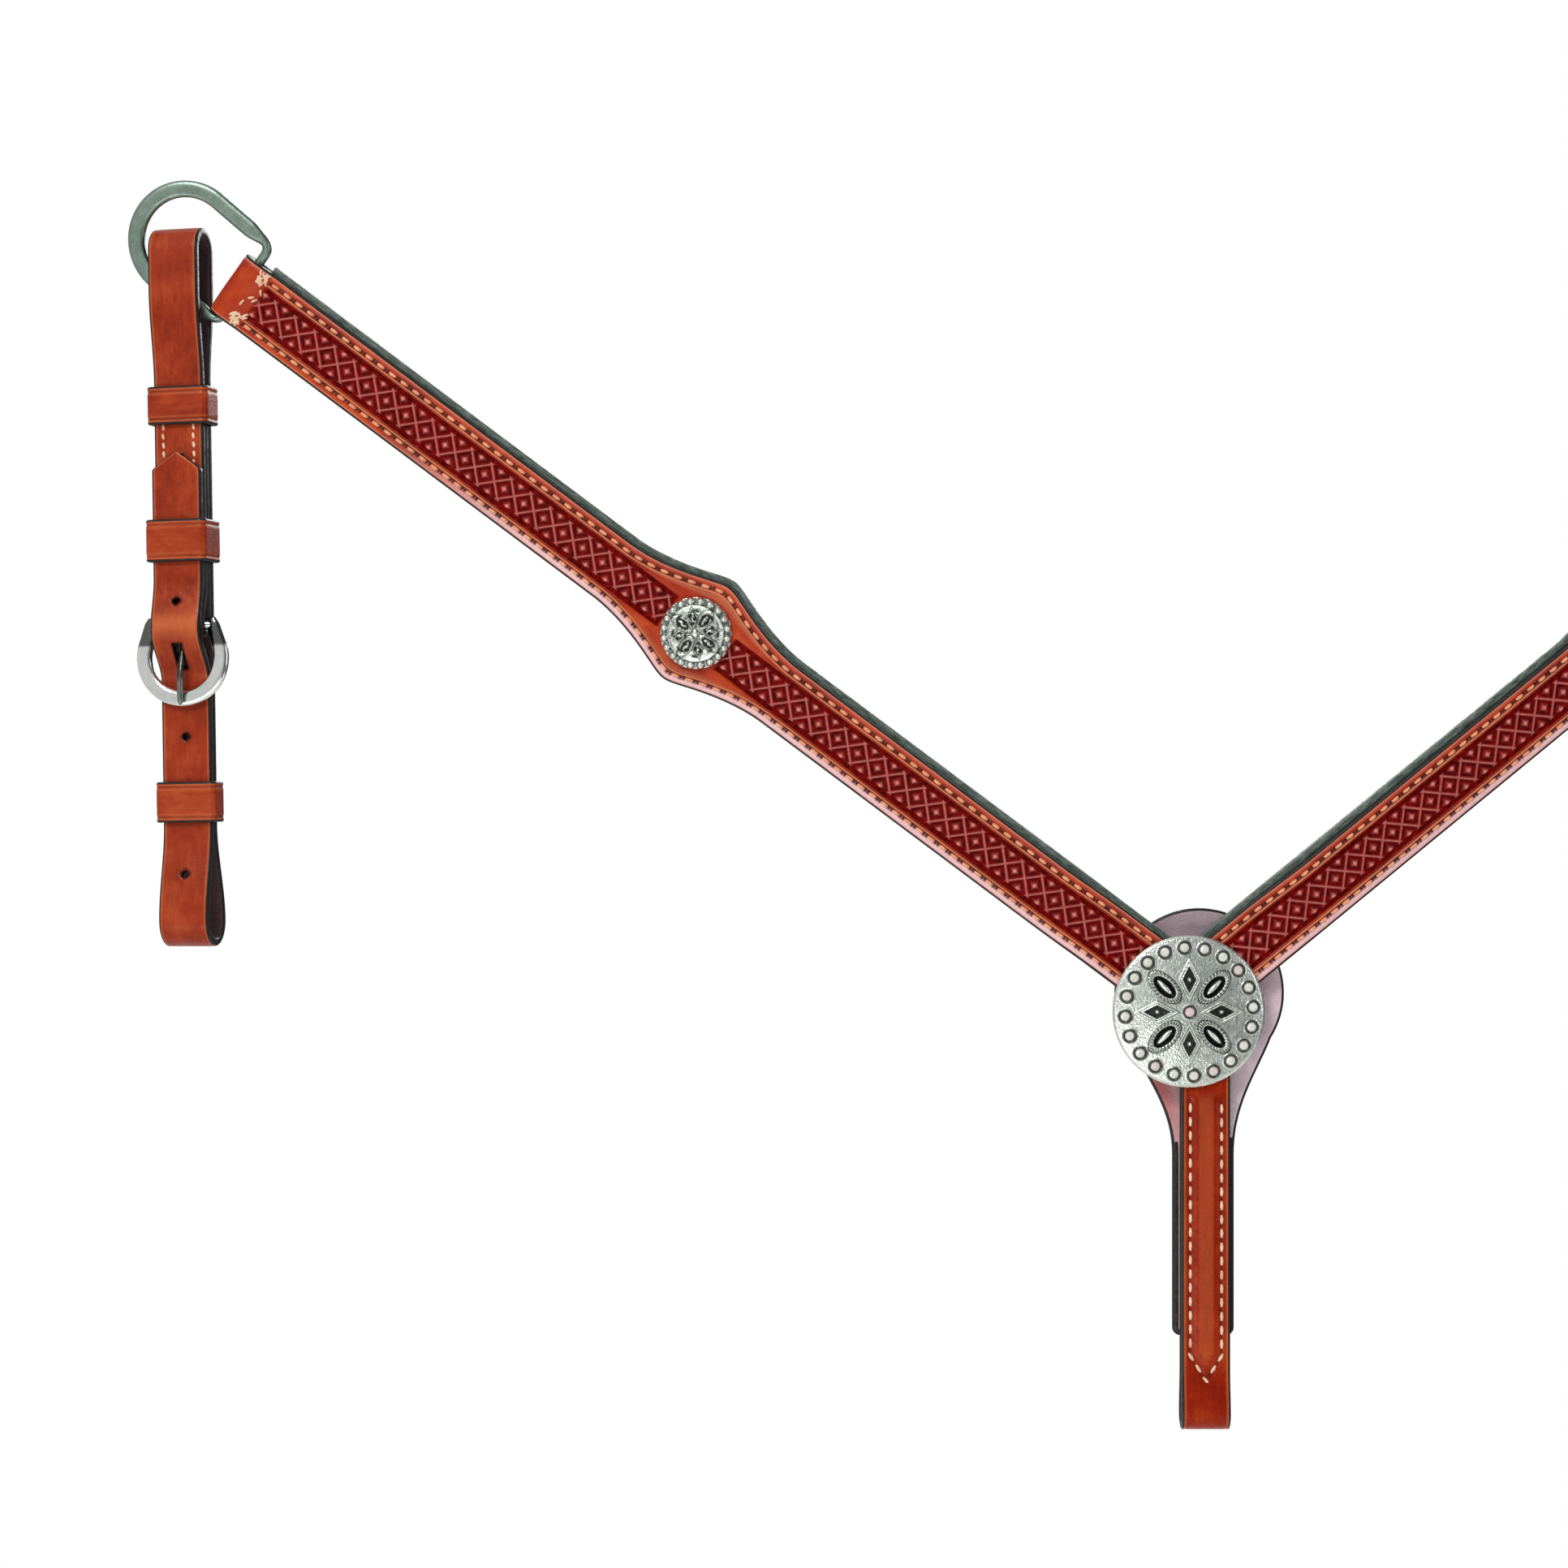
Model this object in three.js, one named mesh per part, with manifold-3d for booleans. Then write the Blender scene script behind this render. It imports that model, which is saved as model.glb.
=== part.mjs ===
// Western breastplate (breast collar) of chestnut leather, in millimetres.
// X runs to the viewer's right, Z up, and the front faces -Y.
// The origin is on the flat back of the centre backing, behind the middle of the large concho.
import * as THREE from 'three';
import { mergeVertices } from 'three/addons/utils/BufferGeometryUtils.js';
import Module from 'manifold-3d';

const wasm = await Module();
wasm.setup();

const DEGREE = Math.PI / 180;
const GAP = 0.3;

// Arms: two layers of leather from the centre up to a D-ring.
const ARM_ANGLE = 36.8 * DEGREE;
const RIGHT_ARM_EXTRA = 2.6 * DEGREE;
const ARM_RISE = 4;
const ARM_ROLL = 10 * DEGREE;
const ARM_WIDTH = 26.8;
const TOP_LEATHER = 4.3;
const LINING = 3.9;
const LINING_PROUD = 2.2;
const ARM_START = 21;
const ARM_FLEX = 50;
const FLARE_AT = 246.6;
const FLARE_HALF_LENGTH = 42;
const FLARE_HEIGHT = 9.4;
const FLARE_ROUND = 0.1;
const FLARE_POWER = 1.8;
const DEE_BAR_AT = 474;
const FOLD_RETURN = 20;
const FOLD_THICK = 3.9;
const FOLD_SWELL = 9.5;

// Centre: teardrop backing and the strap that runs down between the legs.
const BACKING = 3.2;
const BACKING_X = 5.6;
const BACKING_LIFT = 6.8;
const BACKING_RADIUS = 33.9;
const BACKING_LEAVES = -32 * DEGREE;
const TAIL_TOP = -58;
const TAIL_WIDTH = 24.6;
const TAIL_BOTTOM = -130.3;
const TAIL_CORNER = 3;
const DOWN_X = 7.1;
const DOWN_WIDTH = 19.4;
const DOWN_LEATHER = 3.1;
const DOWN_TOP = 9;
const DOWN_BOTTOM = -166.8;
const DOWN_TAPER = -142;
const DOWN_LOOP_RADIUS = 5.05;
const FILLER_WIDTH = 11;
const FILLER = 1.7;
const FILLER_TOP = -32;
const FILLER_BOTTOM = -134;

// Conchos are castings with a threaded boss; a flanged screw comes from behind.
const CONCHO_BOSS = 2.5;
const CONCHO_EDGE = 0.6;
const SCREW_SHANK = 1.4;
const LARGE_CONCHO = { radius: 30.15, rim: 2, dome: 5, boss: 7.3, flange: 5, flangeDepth: 1 };
const SMALL_CONCHO = { radius: 14.35, rim: 1.6, dome: 3, boss: 3.9, flange: 4.5, flangeDepth: 0.7 };

// D-ring, in a frame with its bar along Y.
const DEE_OFFSET = 2.9;
const DEE_BAR_RADIUS = 1.9;
const DEE_HALF_BAR = 18.4;
const DEE_ARC_AT = 29;
const DEE_ARC_RADIUS = 20.3;
const DEE_WIRE = 6.6;
const DEE_WIRE_END = 3.4;
const DEE_THICK = 4.2;

// Tug: one strap, in a frame whose origin is the ring wire it hangs on. Heights are along its Z.
const TUG_WIDTH = 20.6;
const TUG_LEATHER = 3.1;
const TUG_YAW = 12 * DEGREE;
const TUG_LEAN = 0.9 * DEGREE;
const TUG_HANG_X = 18;
const TUG_LAYER = TUG_LEATHER + GAP;
const TUG_MIDDLE = 4.95;
const TOP_LOOP_DEPTH = 18.5;
const TOP_FOLD = 27.2;
const BOTTOM_LOOP_DEPTH = 20.5;
const BOTTOM_LOOP_MIDDLE = 2.6;
const BOTTOM_FOLD = -259.4;
const BILLET_TIP = -62.7;
const BILLET_SHOULDER = 6.6;
const CHAPE_END = -47.3;
const HEEL_BAR = -131.3;
const HEEL_BAR_DEPTH = 8.7;
const HEEL_BAR_RADIUS = 1.75;
const HOLE_RADIUS = 2;
const BUCKLED_HOLE = -122.3;
const SPARE_HOLES = [-175.6, -230.7];
const SLOT_WIDTH = 4.8;

// Buckle frame and tongue.
const BUCKLE_RADIUS = 19.35;
const BUCKLE_BAND = 6.3;
const BUCKLE_CENTRE = -144.25;
const BUCKLE_THICK = 3.4;
const BUCKLE_MOUTH = TUG_WIDTH / 2 + 0.4;
const BUCKLE_SHOULDER = BUCKLE_MOUTH + 4.2;
const BUCKLE_RISE = 3;
const TONGUE_WIDTH = 3;
const TONGUE_THICK = 2.2;
const TONGUE_EYE = 1.5;

// Keepers: leather loops around the layers they hold.
const KEEPER_WALL = 2.2;
const KEEPER_CORNER = 2.4;
const KEEPERS = [
  { name: 'top', at: -43.8, height: 15.2, layers: 3 },
  { name: 'middle', at: -97.8, height: 16.8, layers: 4 },
  { name: 'bottom', at: -201.7, height: 16.2, layers: 2 },
];

const ARM_THICK = TOP_LEATHER + GAP + LINING;
const ARM_FRONT = ARM_THICK / 2;
const ARM_MIDDLE_Y = -(BACKING + GAP + ARM_FRONT);
const LINING_TOP = -ARM_FRONT + LINING;
const STACK_FRONT = ARM_MIDDLE_Y - ARM_FRONT;

const leather = (color, roughness = 0.45) =>
  new THREE.MeshStandardMaterial({ color, roughness, metalness: 0 });
const metal = (color, roughness) => new THREE.MeshStandardMaterial({ color, roughness, metalness: 1 });
const CHESTNUT = leather(0xa5391d);
const TOOLED = leather(0x8c2418, 0.5);
const LINING_LEATHER = leather(0x9c5a55, 0.6);
const FILLER_LEATHER = leather(0x8a5a40, 0.8);
const ANTIQUE_SILVER = metal(0xc4c8c3, 0.35);
const NICKEL = metal(0x8f9f95, 0.3);
const BRIGHT_SILVER = metal(0xe8ece9, 0.2);
const SCREW_STEEL = metal(0xb0b0ac, 0.4);

// Exact solids from three.js geometry, for cuts and joins.
function solid(geometry) {
  const bare = geometry.index ? geometry.toNonIndexed() : geometry.clone();
  bare.deleteAttribute('normal');
  bare.deleteAttribute('uv');
  const merged = mergeVertices(bare, 1e-4);
  return new wasm.Manifold(new wasm.Mesh({
    numProp: 3,
    vertProperties: new Float32Array(merged.attributes.position.array),
    triVerts: new Uint32Array(merged.index.array),
  }));
}

function geometryOf(made) {
  const mesh = made.getMesh();
  const geometry = new THREE.BufferGeometry();
  geometry.setAttribute('position', new THREE.BufferAttribute(mesh.vertProperties, 3));
  geometry.setIndex(new THREE.BufferAttribute(mesh.triVerts, 1));
  geometry.computeVertexNormals();
  return geometry;
}

const cut = (geometry, ...tools) =>
  geometryOf(tools.reduce((left, tool) => left.subtract(solid(tool)), solid(geometry)));
const join = (geometry, ...others) =>
  geometryOf(others.reduce((sum, other) => sum.add(solid(other)), solid(geometry)));

function named(name, geometry, material) {
  const mesh = new THREE.Mesh(geometry, material);
  mesh.name = name;
  return mesh;
}

const extrude = (shape, depth) =>
  new THREE.ExtrudeGeometry(shape, { depth, bevelEnabled: false, curveSegments: 12 });

const X_AXIS = new THREE.Vector3(1, 0, 0);
const Y_AXIS = new THREE.Vector3(0, 1, 0);
const Z_AXIS = new THREE.Vector3(0, 0, 1);
const BACKWARD = new THREE.Vector3(0, -1, 0);

// A shape drawn in X and Z, standing upright from y = back towards the front.
function standing(shape, depth, back) {
  return extrude(shape, depth)
    .applyMatrix4(new THREE.Matrix4().makeBasis(X_AXIS, Z_AXIS, BACKWARD))
    .translate(0, back, 0);
}

// A profile drawn in Y and Z, made a strap of the given width about x = middle.
function strapOf(profile, width, middle = 0) {
  return extrude(profile, width)
    .applyMatrix4(new THREE.Matrix4().makeBasis(Y_AXIS, Z_AXIS, X_AXIS))
    .translate(middle - width / 2, 0, 0);
}

// The closed outline of a strap of even thickness that follows a centre line.
function ribbon(points, thickness) {
  const sides = [[], []];
  points.forEach((point, i) => {
    const before = points[Math.max(i - 1, 0)];
    const after = points[Math.min(i + 1, points.length - 1)];
    const along = after.clone().sub(before).normalize();
    const out = new THREE.Vector2(-along.y, along.x).multiplyScalar(thickness / 2);
    sides[0].push(point.clone().add(out));
    sides[1].push(point.clone().sub(out));
  });
  return new THREE.Shape([...sides[0], ...sides[1].reverse()]);
}

const at = (y, z) => new THREE.Vector2(y, z);

// Points of a circular arc, ends included.
function arc(y, z, radius, from, to, steps) {
  return Array.from({ length: steps + 1 }, (_, i) => {
    const angle = (from + ((to - from) * i) / steps) * DEGREE;
    return at(y + radius * Math.cos(angle), z + radius * Math.sin(angle));
  });
}

// Points between two places, easing out of and into the upright direction.
function ease(start, end, steps) {
  return Array.from({ length: steps - 1 }, (_, i) => {
    const t = (i + 1) / steps;
    const blend = t * t * (3 - 2 * t);
    return at(start.x + (end.x - start.x) * blend, start.y + (end.y - start.y) * t);
  });
}

// A round casting with its face towards +Z and a blind bore in the boss behind it.
function conchoGeometry({ radius, rim, dome, boss }) {
  const face = Array.from({ length: 5 }, (_, i) => {
    const r = (radius - CONCHO_EDGE) * (1 - i / 4);
    return new THREE.Vector2(r, rim + (dome - rim) * (1 - (r / radius) ** 2));
  });
  const profile = [
    new THREE.Vector2(0, -GAP),
    new THREE.Vector2(SCREW_SHANK + GAP, -GAP),
    new THREE.Vector2(SCREW_SHANK + GAP, -boss),
    new THREE.Vector2(CONCHO_BOSS, -boss),
    new THREE.Vector2(CONCHO_BOSS, 0),
    new THREE.Vector2(radius, 0),
    new THREE.Vector2(radius, rim - 0.4),
    ...face,
  ];
  return new THREE.LatheGeometry(profile, radius > 20 ? 40 : 24).rotateX(Math.PI / 2);
}

function screwGeometry({ flange, flangeDepth }, length) {
  const profile = [
    new THREE.Vector2(0, 0),
    new THREE.Vector2(flange, 0),
    new THREE.Vector2(flange, flangeDepth),
    new THREE.Vector2(SCREW_SHANK, flangeDepth),
    new THREE.Vector2(SCREW_SHANK, length),
    new THREE.Vector2(0, length),
  ];
  return new THREE.LatheGeometry(profile, 12).rotateX(Math.PI / 2);
}

const rod = (radius, length) => new THREE.CylinderGeometry(radius, radius, length, 20);

// Centre -------------------------------------------------------------------------------------

// A teardrop: a circle whose sides sweep down into a straight tail.
function backingShape() {
  const half = TAIL_WIDTH / 2;
  const [left, right] = [DOWN_X - half, DOWN_X + half];
  const edgeX = BACKING_RADIUS * Math.cos(BACKING_LEAVES);
  const edgeZ = BACKING_LIFT + BACKING_RADIUS * Math.sin(BACKING_LEAVES);
  const sweepX = edgeX - 6;
  const sweepZ = edgeZ - 15;
  const tailZ = TAIL_TOP + 20;
  const foot = TAIL_BOTTOM + TAIL_CORNER;
  const shape = new THREE.Shape();
  shape.absarc(BACKING_X, BACKING_LIFT, BACKING_RADIUS, BACKING_LEAVES, Math.PI - BACKING_LEAVES, false);
  shape.bezierCurveTo(BACKING_X - sweepX, sweepZ, left, tailZ, left, TAIL_TOP);
  shape.lineTo(left, foot);
  shape.quadraticCurveTo(left, TAIL_BOTTOM, left + TAIL_CORNER, TAIL_BOTTOM);
  shape.lineTo(right - TAIL_CORNER, TAIL_BOTTOM);
  shape.quadraticCurveTo(right, TAIL_BOTTOM, right, foot);
  shape.lineTo(right, TAIL_TOP);
  shape.bezierCurveTo(right, tailZ, BACKING_X + sweepX, sweepZ, BACKING_X + edgeX, edgeZ);
  return shape;
}

function downStrap() {
  const front = STACK_FRONT + DOWN_LEATHER / 2;
  const back = -(BACKING + GAP + DOWN_LEATHER / 2);
  const middle = (front + back) / 2;
  const radius = DOWN_LOOP_RADIUS;
  const foldZ = DOWN_BOTTOM + radius + DOWN_LEATHER / 2;
  const path = [
    at(front, DOWN_TOP),
    at(front, DOWN_TAPER),
    ...ease(at(front, DOWN_TAPER), at(middle - radius, foldZ), 5),
    ...arc(middle, foldZ, radius, 180, 360, 12),
    ...ease(at(middle + radius, foldZ), at(back, DOWN_TAPER), 5),
    at(back, DOWN_TAPER),
    at(back, DOWN_TOP),
  ];
  const hole = rod(CONCHO_BOSS + GAP, 30);
  const pocket = rod(LARGE_CONCHO.flange + GAP, 2 * (BACKING + 2 * GAP + LARGE_CONCHO.flangeDepth));
  return cut(strapOf(ribbon(path, DOWN_LEATHER), DOWN_WIDTH, DOWN_X), hole, pocket);
}

function fillerShape() {
  const half = FILLER_WIDTH / 2;
  const corners = [at(DOWN_X - half, FILLER_TOP), at(DOWN_X - half, FILLER_BOTTOM + half)];
  const foot = arc(DOWN_X, FILLER_BOTTOM + half, half, 180, 360, 8);
  return new THREE.Shape([...corners, ...foot.slice(1), at(DOWN_X + half, FILLER_TOP)]);
}

function centre() {
  const group = new THREE.Group();
  group.add(named('centre_backing', standing(backingShape(), BACKING, 0), LINING_LEATHER));
  group.add(named('down_strap', downStrap(), CHESTNUT));
  group.add(named('down_strap_filler', standing(fillerShape(), FILLER,
    STACK_FRONT + DOWN_LEATHER + GAP + FILLER), FILLER_LEATHER));
  const concho = named('centre_concho', conchoGeometry(LARGE_CONCHO), ANTIQUE_SILVER);
  concho.position.y = STACK_FRONT - GAP;
  concho.rotation.x = Math.PI / 2;
  const screw = named('centre_concho_screw', screwGeometry(LARGE_CONCHO, 7.8), SCREW_STEEL);
  screw.position.y = -(BACKING + GAP);
  screw.rotation.x = Math.PI / 2;
  group.add(concho, screw);
  return group;
}

// Arms, in a frame with X along the strap, Y towards its upper edge and Z out of its face -----

// Half the width of an arm at a distance along it: an even strap with one pointed flare.
function armHalfWidth(along) {
  const reach = Math.hypot((along - FLARE_AT) / FLARE_HALF_LENGTH, FLARE_ROUND);
  const rise = Math.max(0, (1 - reach) / (1 - FLARE_ROUND));
  return ARM_WIDTH / 2 + FLARE_HEIGHT * rise ** FLARE_POWER;
}

// The outline of a layer, proud of the strap's upper edge where the lining shows past the top.
function armShape(from, to, proud) {
  const stations = [from];
  for (let step = -12; step <= 12; step += 1) {
    stations.push(FLARE_AT + (step / 12) * FLARE_HALF_LENGTH);
  }
  stations.push(to);
  const inside = stations.filter((along) => along >= from && along <= to);
  const upper = inside.map((along) => at(along, armHalfWidth(along) + proud));
  const lower = inside.map((along) => at(along, -armHalfWidth(along))).reverse();
  return new THREE.Shape([...lower, ...upper]);
}

const topLayer = (from, to) =>
  extrude(armShape(from, to, 0), TOP_LEATHER).translate(0, 0, LINING_TOP + GAP);
const liningLayer = (from, to) =>
  extrude(armShape(from, to, LINING_PROUD), LINING).translate(0, 0, -ARM_FRONT);

// The end of the top leather, wrapped round the D-ring's bar and sewn down behind.
function armFold() {
  const eye = DEE_BAR_RADIUS + GAP;
  const outer = eye + FOLD_THICK;
  const start = DEE_BAR_AT - FOLD_RETURN;
  const shape = new THREE.Shape([
    at(start, -ARM_FRONT),
    at(DEE_BAR_AT - FOLD_SWELL, -ARM_FRONT),
    ...arc(DEE_BAR_AT, 0, outer, -100, 100, 14),
    at(DEE_BAR_AT - FOLD_SWELL, ARM_FRONT),
    at(start, ARM_FRONT),
  ]);
  shape.holes.push(new THREE.Path(arc(DEE_BAR_AT, 0, eye, 0, 342, 19)));
  const fold = extrude(shape, ARM_WIDTH).rotateX(Math.PI / 2).translate(0, ARM_WIDTH / 2, 0);
  const end = DEE_BAR_AT - outer;
  const flapEdge = new THREE.BoxGeometry(end - start, LINING_PROUD + 1, LINING)
    .translate((start + end) / 2, (ARM_WIDTH + LINING_PROUD - 1) / 2, -ARM_FRONT + LINING / 2);
  return join(fold, flapEdge);
}

function deeRing() {
  const reach = Math.hypot(DEE_ARC_AT, DEE_HALF_BAR);
  const toBar = Math.atan2(DEE_HALF_BAR, -DEE_ARC_AT) / DEGREE;
  const touch = toBar - Math.acos(DEE_ARC_RADIUS / reach) / DEGREE;
  const bend = arc(DEE_ARC_AT, 0, DEE_ARC_RADIUS, -touch, touch, 26);
  const rise = bend[0].y + DEE_HALF_BAR;
  const side = (fraction) => at(bend[0].x * fraction, rise * fraction - DEE_HALF_BAR);
  const lower = [-0.03, 0.18, 0.3, 0.45].map(side);
  const upper = lower.map((point) => at(point.x, -point.y)).reverse();
  const line = [...lower, ...bend, ...upper];
  const last = line.length - 1;
  const half = (i) => (Math.min(i, last - i) < 2 ? DEE_WIRE_END : DEE_WIRE) / 2;
  const outside = [];
  const inside = [];
  line.forEach((point, i) => {
    const along = line[Math.min(i + 1, last)].clone().sub(line[Math.max(i - 1, 0)]).normalize();
    const out = new THREE.Vector2(along.y, -along.x).multiplyScalar(half(i));
    outside.push(point.clone().add(out));
    inside.push(point.clone().sub(out));
  });
  const band = extrude(new THREE.Shape([...outside, ...inside.reverse()]), DEE_THICK)
    .translate(0, 0, -DEE_THICK / 2);
  return join(band, rod(DEE_BAR_RADIUS, 2 * DEE_HALF_BAR + DEE_WIRE_END));
}

function armFrame(roll) {
  const group = new THREE.Group();
  group.position.set(-ARM_RISE * Math.sin(ARM_ANGLE), ARM_MIDDLE_Y, ARM_RISE * Math.cos(ARM_ANGLE));
  group.rotation.set(Math.PI / 2 + roll, -ARM_ANGLE, 0, 'YXZ');
  return group;
}

function armRoot(side) {
  const group = armFrame(0);
  const end = ARM_FLEX - GAP / 2;
  group.add(named(`${side}_arm_leather_inner`, topLayer(ARM_START, end), TOOLED));
  group.add(named(`${side}_arm_lining_inner`, liningLayer(ARM_START, end), LINING_LEATHER));
  return group;
}

function arm(side) {
  const group = armFrame(ARM_ROLL);
  const start = ARM_FLEX + GAP / 2;
  const foldStart = DEE_BAR_AT - FOLD_RETURN;
  const through = rod(CONCHO_BOSS + GAP, 20).rotateX(Math.PI / 2).translate(FLARE_AT, 0, 0);
  const top = join(topLayer(start, foldStart + 1), armFold());
  const pocketDepth = SMALL_CONCHO.flangeDepth + 2 * GAP;
  const pocket = rod(SMALL_CONCHO.flange + GAP, 2 * pocketDepth)
    .rotateX(Math.PI / 2)
    .translate(FLARE_AT, 0, LINING_TOP);
  group.add(named(`${side}_arm_leather`, cut(top, through), TOOLED));
  group.add(named(`${side}_arm_lining`,
    cut(liningLayer(start, foldStart - GAP), pocket), LINING_LEATHER));
  const concho = named(`${side}_concho`, conchoGeometry(SMALL_CONCHO), ANTIQUE_SILVER);
  concho.position.set(FLARE_AT, 0, ARM_FRONT + GAP);
  const screw = named(`${side}_concho_screw`, screwGeometry(SMALL_CONCHO, 5), SCREW_STEEL);
  screw.position.set(FLARE_AT, 0, LINING_TOP - pocketDepth + GAP);
  const dee = named(`${side}_dee_ring`, deeRing(), NICKEL);
  dee.position.set(DEE_BAR_AT, DEE_OFFSET, 0);
  group.add(concho, screw, dee);
  return group;
}

// Tug, in a frame with X across the strap and the front towards -Y ------------------------------

const layerAt = (count) => -(count * TUG_LAYER + TUG_LEATHER / 2);

function tugPath() {
  const [back, chapeBack, chape, billet] = [0, 1, 2, 3].map(layerAt);
  const topRadius = (TOP_LOOP_DEPTH - TUG_LEATHER) / 2;
  const topZ = TOP_FOLD - TOP_LOOP_DEPTH / 2;
  const bottomRadius = (BOTTOM_LOOP_DEPTH - TUG_LEATHER) / 2;
  const bottomZ = BOTTOM_FOLD + BOTTOM_LOOP_DEPTH / 2;
  const eye = HEEL_BAR_RADIUS + GAP + TUG_LEATHER / 2;
  const over = at(-15.75, HEEL_BAR - 2);
  const under = at(chapeBack, -153.5);
  const frontOfBottom = at(-BOTTOM_LOOP_MIDDLE - bottomRadius, bottomZ);
  const backOfBottom = at(-BOTTOM_LOOP_MIDDLE + bottomRadius, bottomZ);
  const backOfTop = at(-TUG_MIDDLE + topRadius, topZ - 16);
  const frontOfTop = at(-TUG_MIDDLE - topRadius, topZ - 16);
  return [
    at(billet, BILLET_TIP),
    at(billet, -113),
    ...ease(at(billet, -113), over, 5),
    over,
    ...ease(over, under, 8),
    under,
    at(chapeBack, -211),
    ...ease(at(chapeBack, -211), frontOfBottom, 6),
    ...arc(-BOTTOM_LOOP_MIDDLE, bottomZ, bottomRadius, 180, 360, 14),
    ...ease(backOfBottom, at(back, -211), 6),
    at(back, -211),
    at(back, -35.5),
    ...ease(at(back, -35.5), backOfTop, 5),
    backOfTop,
    ...arc(-TUG_MIDDLE, topZ, topRadius, 0, 180, 14),
    frontOfTop,
    ...ease(frontOfTop, at(chape, -35.5), 5),
    at(chape, -35.5),
    at(chape, -117),
    ...ease(at(chape, -117), at(-HEEL_BAR_DEPTH - eye, HEEL_BAR), 4),
    ...arc(-HEEL_BAR_DEPTH, HEEL_BAR, eye, 180, 360, 12),
    ...ease(at(-HEEL_BAR_DEPTH + eye, HEEL_BAR), at(chapeBack, -121), 3),
    at(chapeBack, -121),
    at(chapeBack, CHAPE_END),
  ];
}

const block = (width, depth, height, y, z) =>
  new THREE.BoxGeometry(width, depth, height).translate(0, y, z);

function tugStrap() {
  const strap = strapOf(ribbon(tugPath(), TUG_LEATHER), TUG_WIDTH);
  const billet = layerAt(3);
  const point = [-1, 1].map((hand) => {
    const corner = new THREE.Shape([
      at(0, BILLET_TIP + 0.01),
      at(hand * TUG_WIDTH, BILLET_TIP + 0.01),
      at(hand * TUG_WIDTH, BILLET_TIP - 2 * BILLET_SHOULDER),
    ]);
    return standing(corner, TUG_LAYER, billet + TUG_LAYER / 2);
  });
  const bore = (depth, z) => rod(HOLE_RADIUS, 8).translate(0, layerAt(depth) - 1.2, z);
  const holes = [bore(3, BUCKLED_HOLE), ...SPARE_HOLES.map((z) => bore(1.6, z))];
  const tongueSlot = block(SLOT_WIDTH, 8, 10, -10.5, -143.2);
  const foldSlot = block(SLOT_WIDTH, 10.7, 13, -8.6, HEEL_BAR - 0.5);
  return cut(strap, ...point, ...holes, tongueSlot, foldSlot);
}

function buckleFrame() {
  const inner = BUCKLE_RADIUS - BUCKLE_BAND;
  const top = HEEL_BAR + BUCKLE_RISE;
  const throat = HEEL_BAR - 2.6;
  const shape = new THREE.Shape([
    at(BUCKLE_SHOULDER, top),
    ...arc(0, BUCKLE_CENTRE, BUCKLE_RADIUS, 16, -196, 28),
    at(-BUCKLE_SHOULDER, top),
    at(-BUCKLE_MOUTH, top),
    at(-BUCKLE_MOUTH, throat),
    ...arc(0, BUCKLE_CENTRE, inner, -198, 18, 26),
    at(BUCKLE_MOUTH, throat),
    at(BUCKLE_MOUTH, top),
  ].reverse());
  const plate = standing(shape, BUCKLE_THICK, -HEEL_BAR_DEPTH + BUCKLE_THICK / 2);
  const bar = rod(HEEL_BAR_RADIUS, 2 * BUCKLE_MOUTH + 4.2)
    .rotateZ(Math.PI / 2)
    .translate(0, -HEEL_BAR_DEPTH, HEEL_BAR);
  return join(plate, bar);
}

function buckleTongue() {
  const bore = HEEL_BAR_RADIUS + GAP;
  const eye = new THREE.Shape(arc(-HEEL_BAR_DEPTH, HEEL_BAR, bore + TONGUE_EYE, 0, 345, 23));
  eye.holes.push(new THREE.Path(arc(-HEEL_BAR_DEPTH, HEEL_BAR, bore, 0, 342, 19)));
  const path = [
    at(-HEEL_BAR_DEPTH - 0.2, HEEL_BAR - bore - 0.5),
    at(-9, -140),
    at(-10.2, -145),
    at(-11.6, -149.5),
    at(-12.2, -153.5),
    at(-12.1, -163),
  ];
  return join(strapOf(eye, TONGUE_WIDTH), strapOf(ribbon(path, TONGUE_THICK), TONGUE_WIDTH));
}

function roundedBox(halfX, near, far, radius) {
  const shape = new THREE.Shape();
  shape.absarc(halfX - radius, far - radius, radius, 0, Math.PI / 2, false);
  shape.absarc(-halfX + radius, far - radius, radius, Math.PI / 2, Math.PI, false);
  shape.absarc(-halfX + radius, near + radius, radius, Math.PI, 1.5 * Math.PI, false);
  shape.absarc(halfX - radius, near + radius, radius, 1.5 * Math.PI, 2 * Math.PI, false);
  return shape;
}

function keeper({ height, layers }) {
  const half = TUG_WIDTH / 2 + GAP;
  const near = -(layers * TUG_LAYER);
  const shape = roundedBox(half + KEEPER_WALL, near - KEEPER_WALL, GAP + KEEPER_WALL, KEEPER_CORNER);
  shape.holes.push(new THREE.Path([at(half, GAP), at(-half, GAP), at(-half, near), at(half, near)]));
  return new THREE.ExtrudeGeometry(shape, { depth: height, bevelEnabled: false, curveSegments: 3 })
    .translate(0, 0, -height / 2);
}

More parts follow.
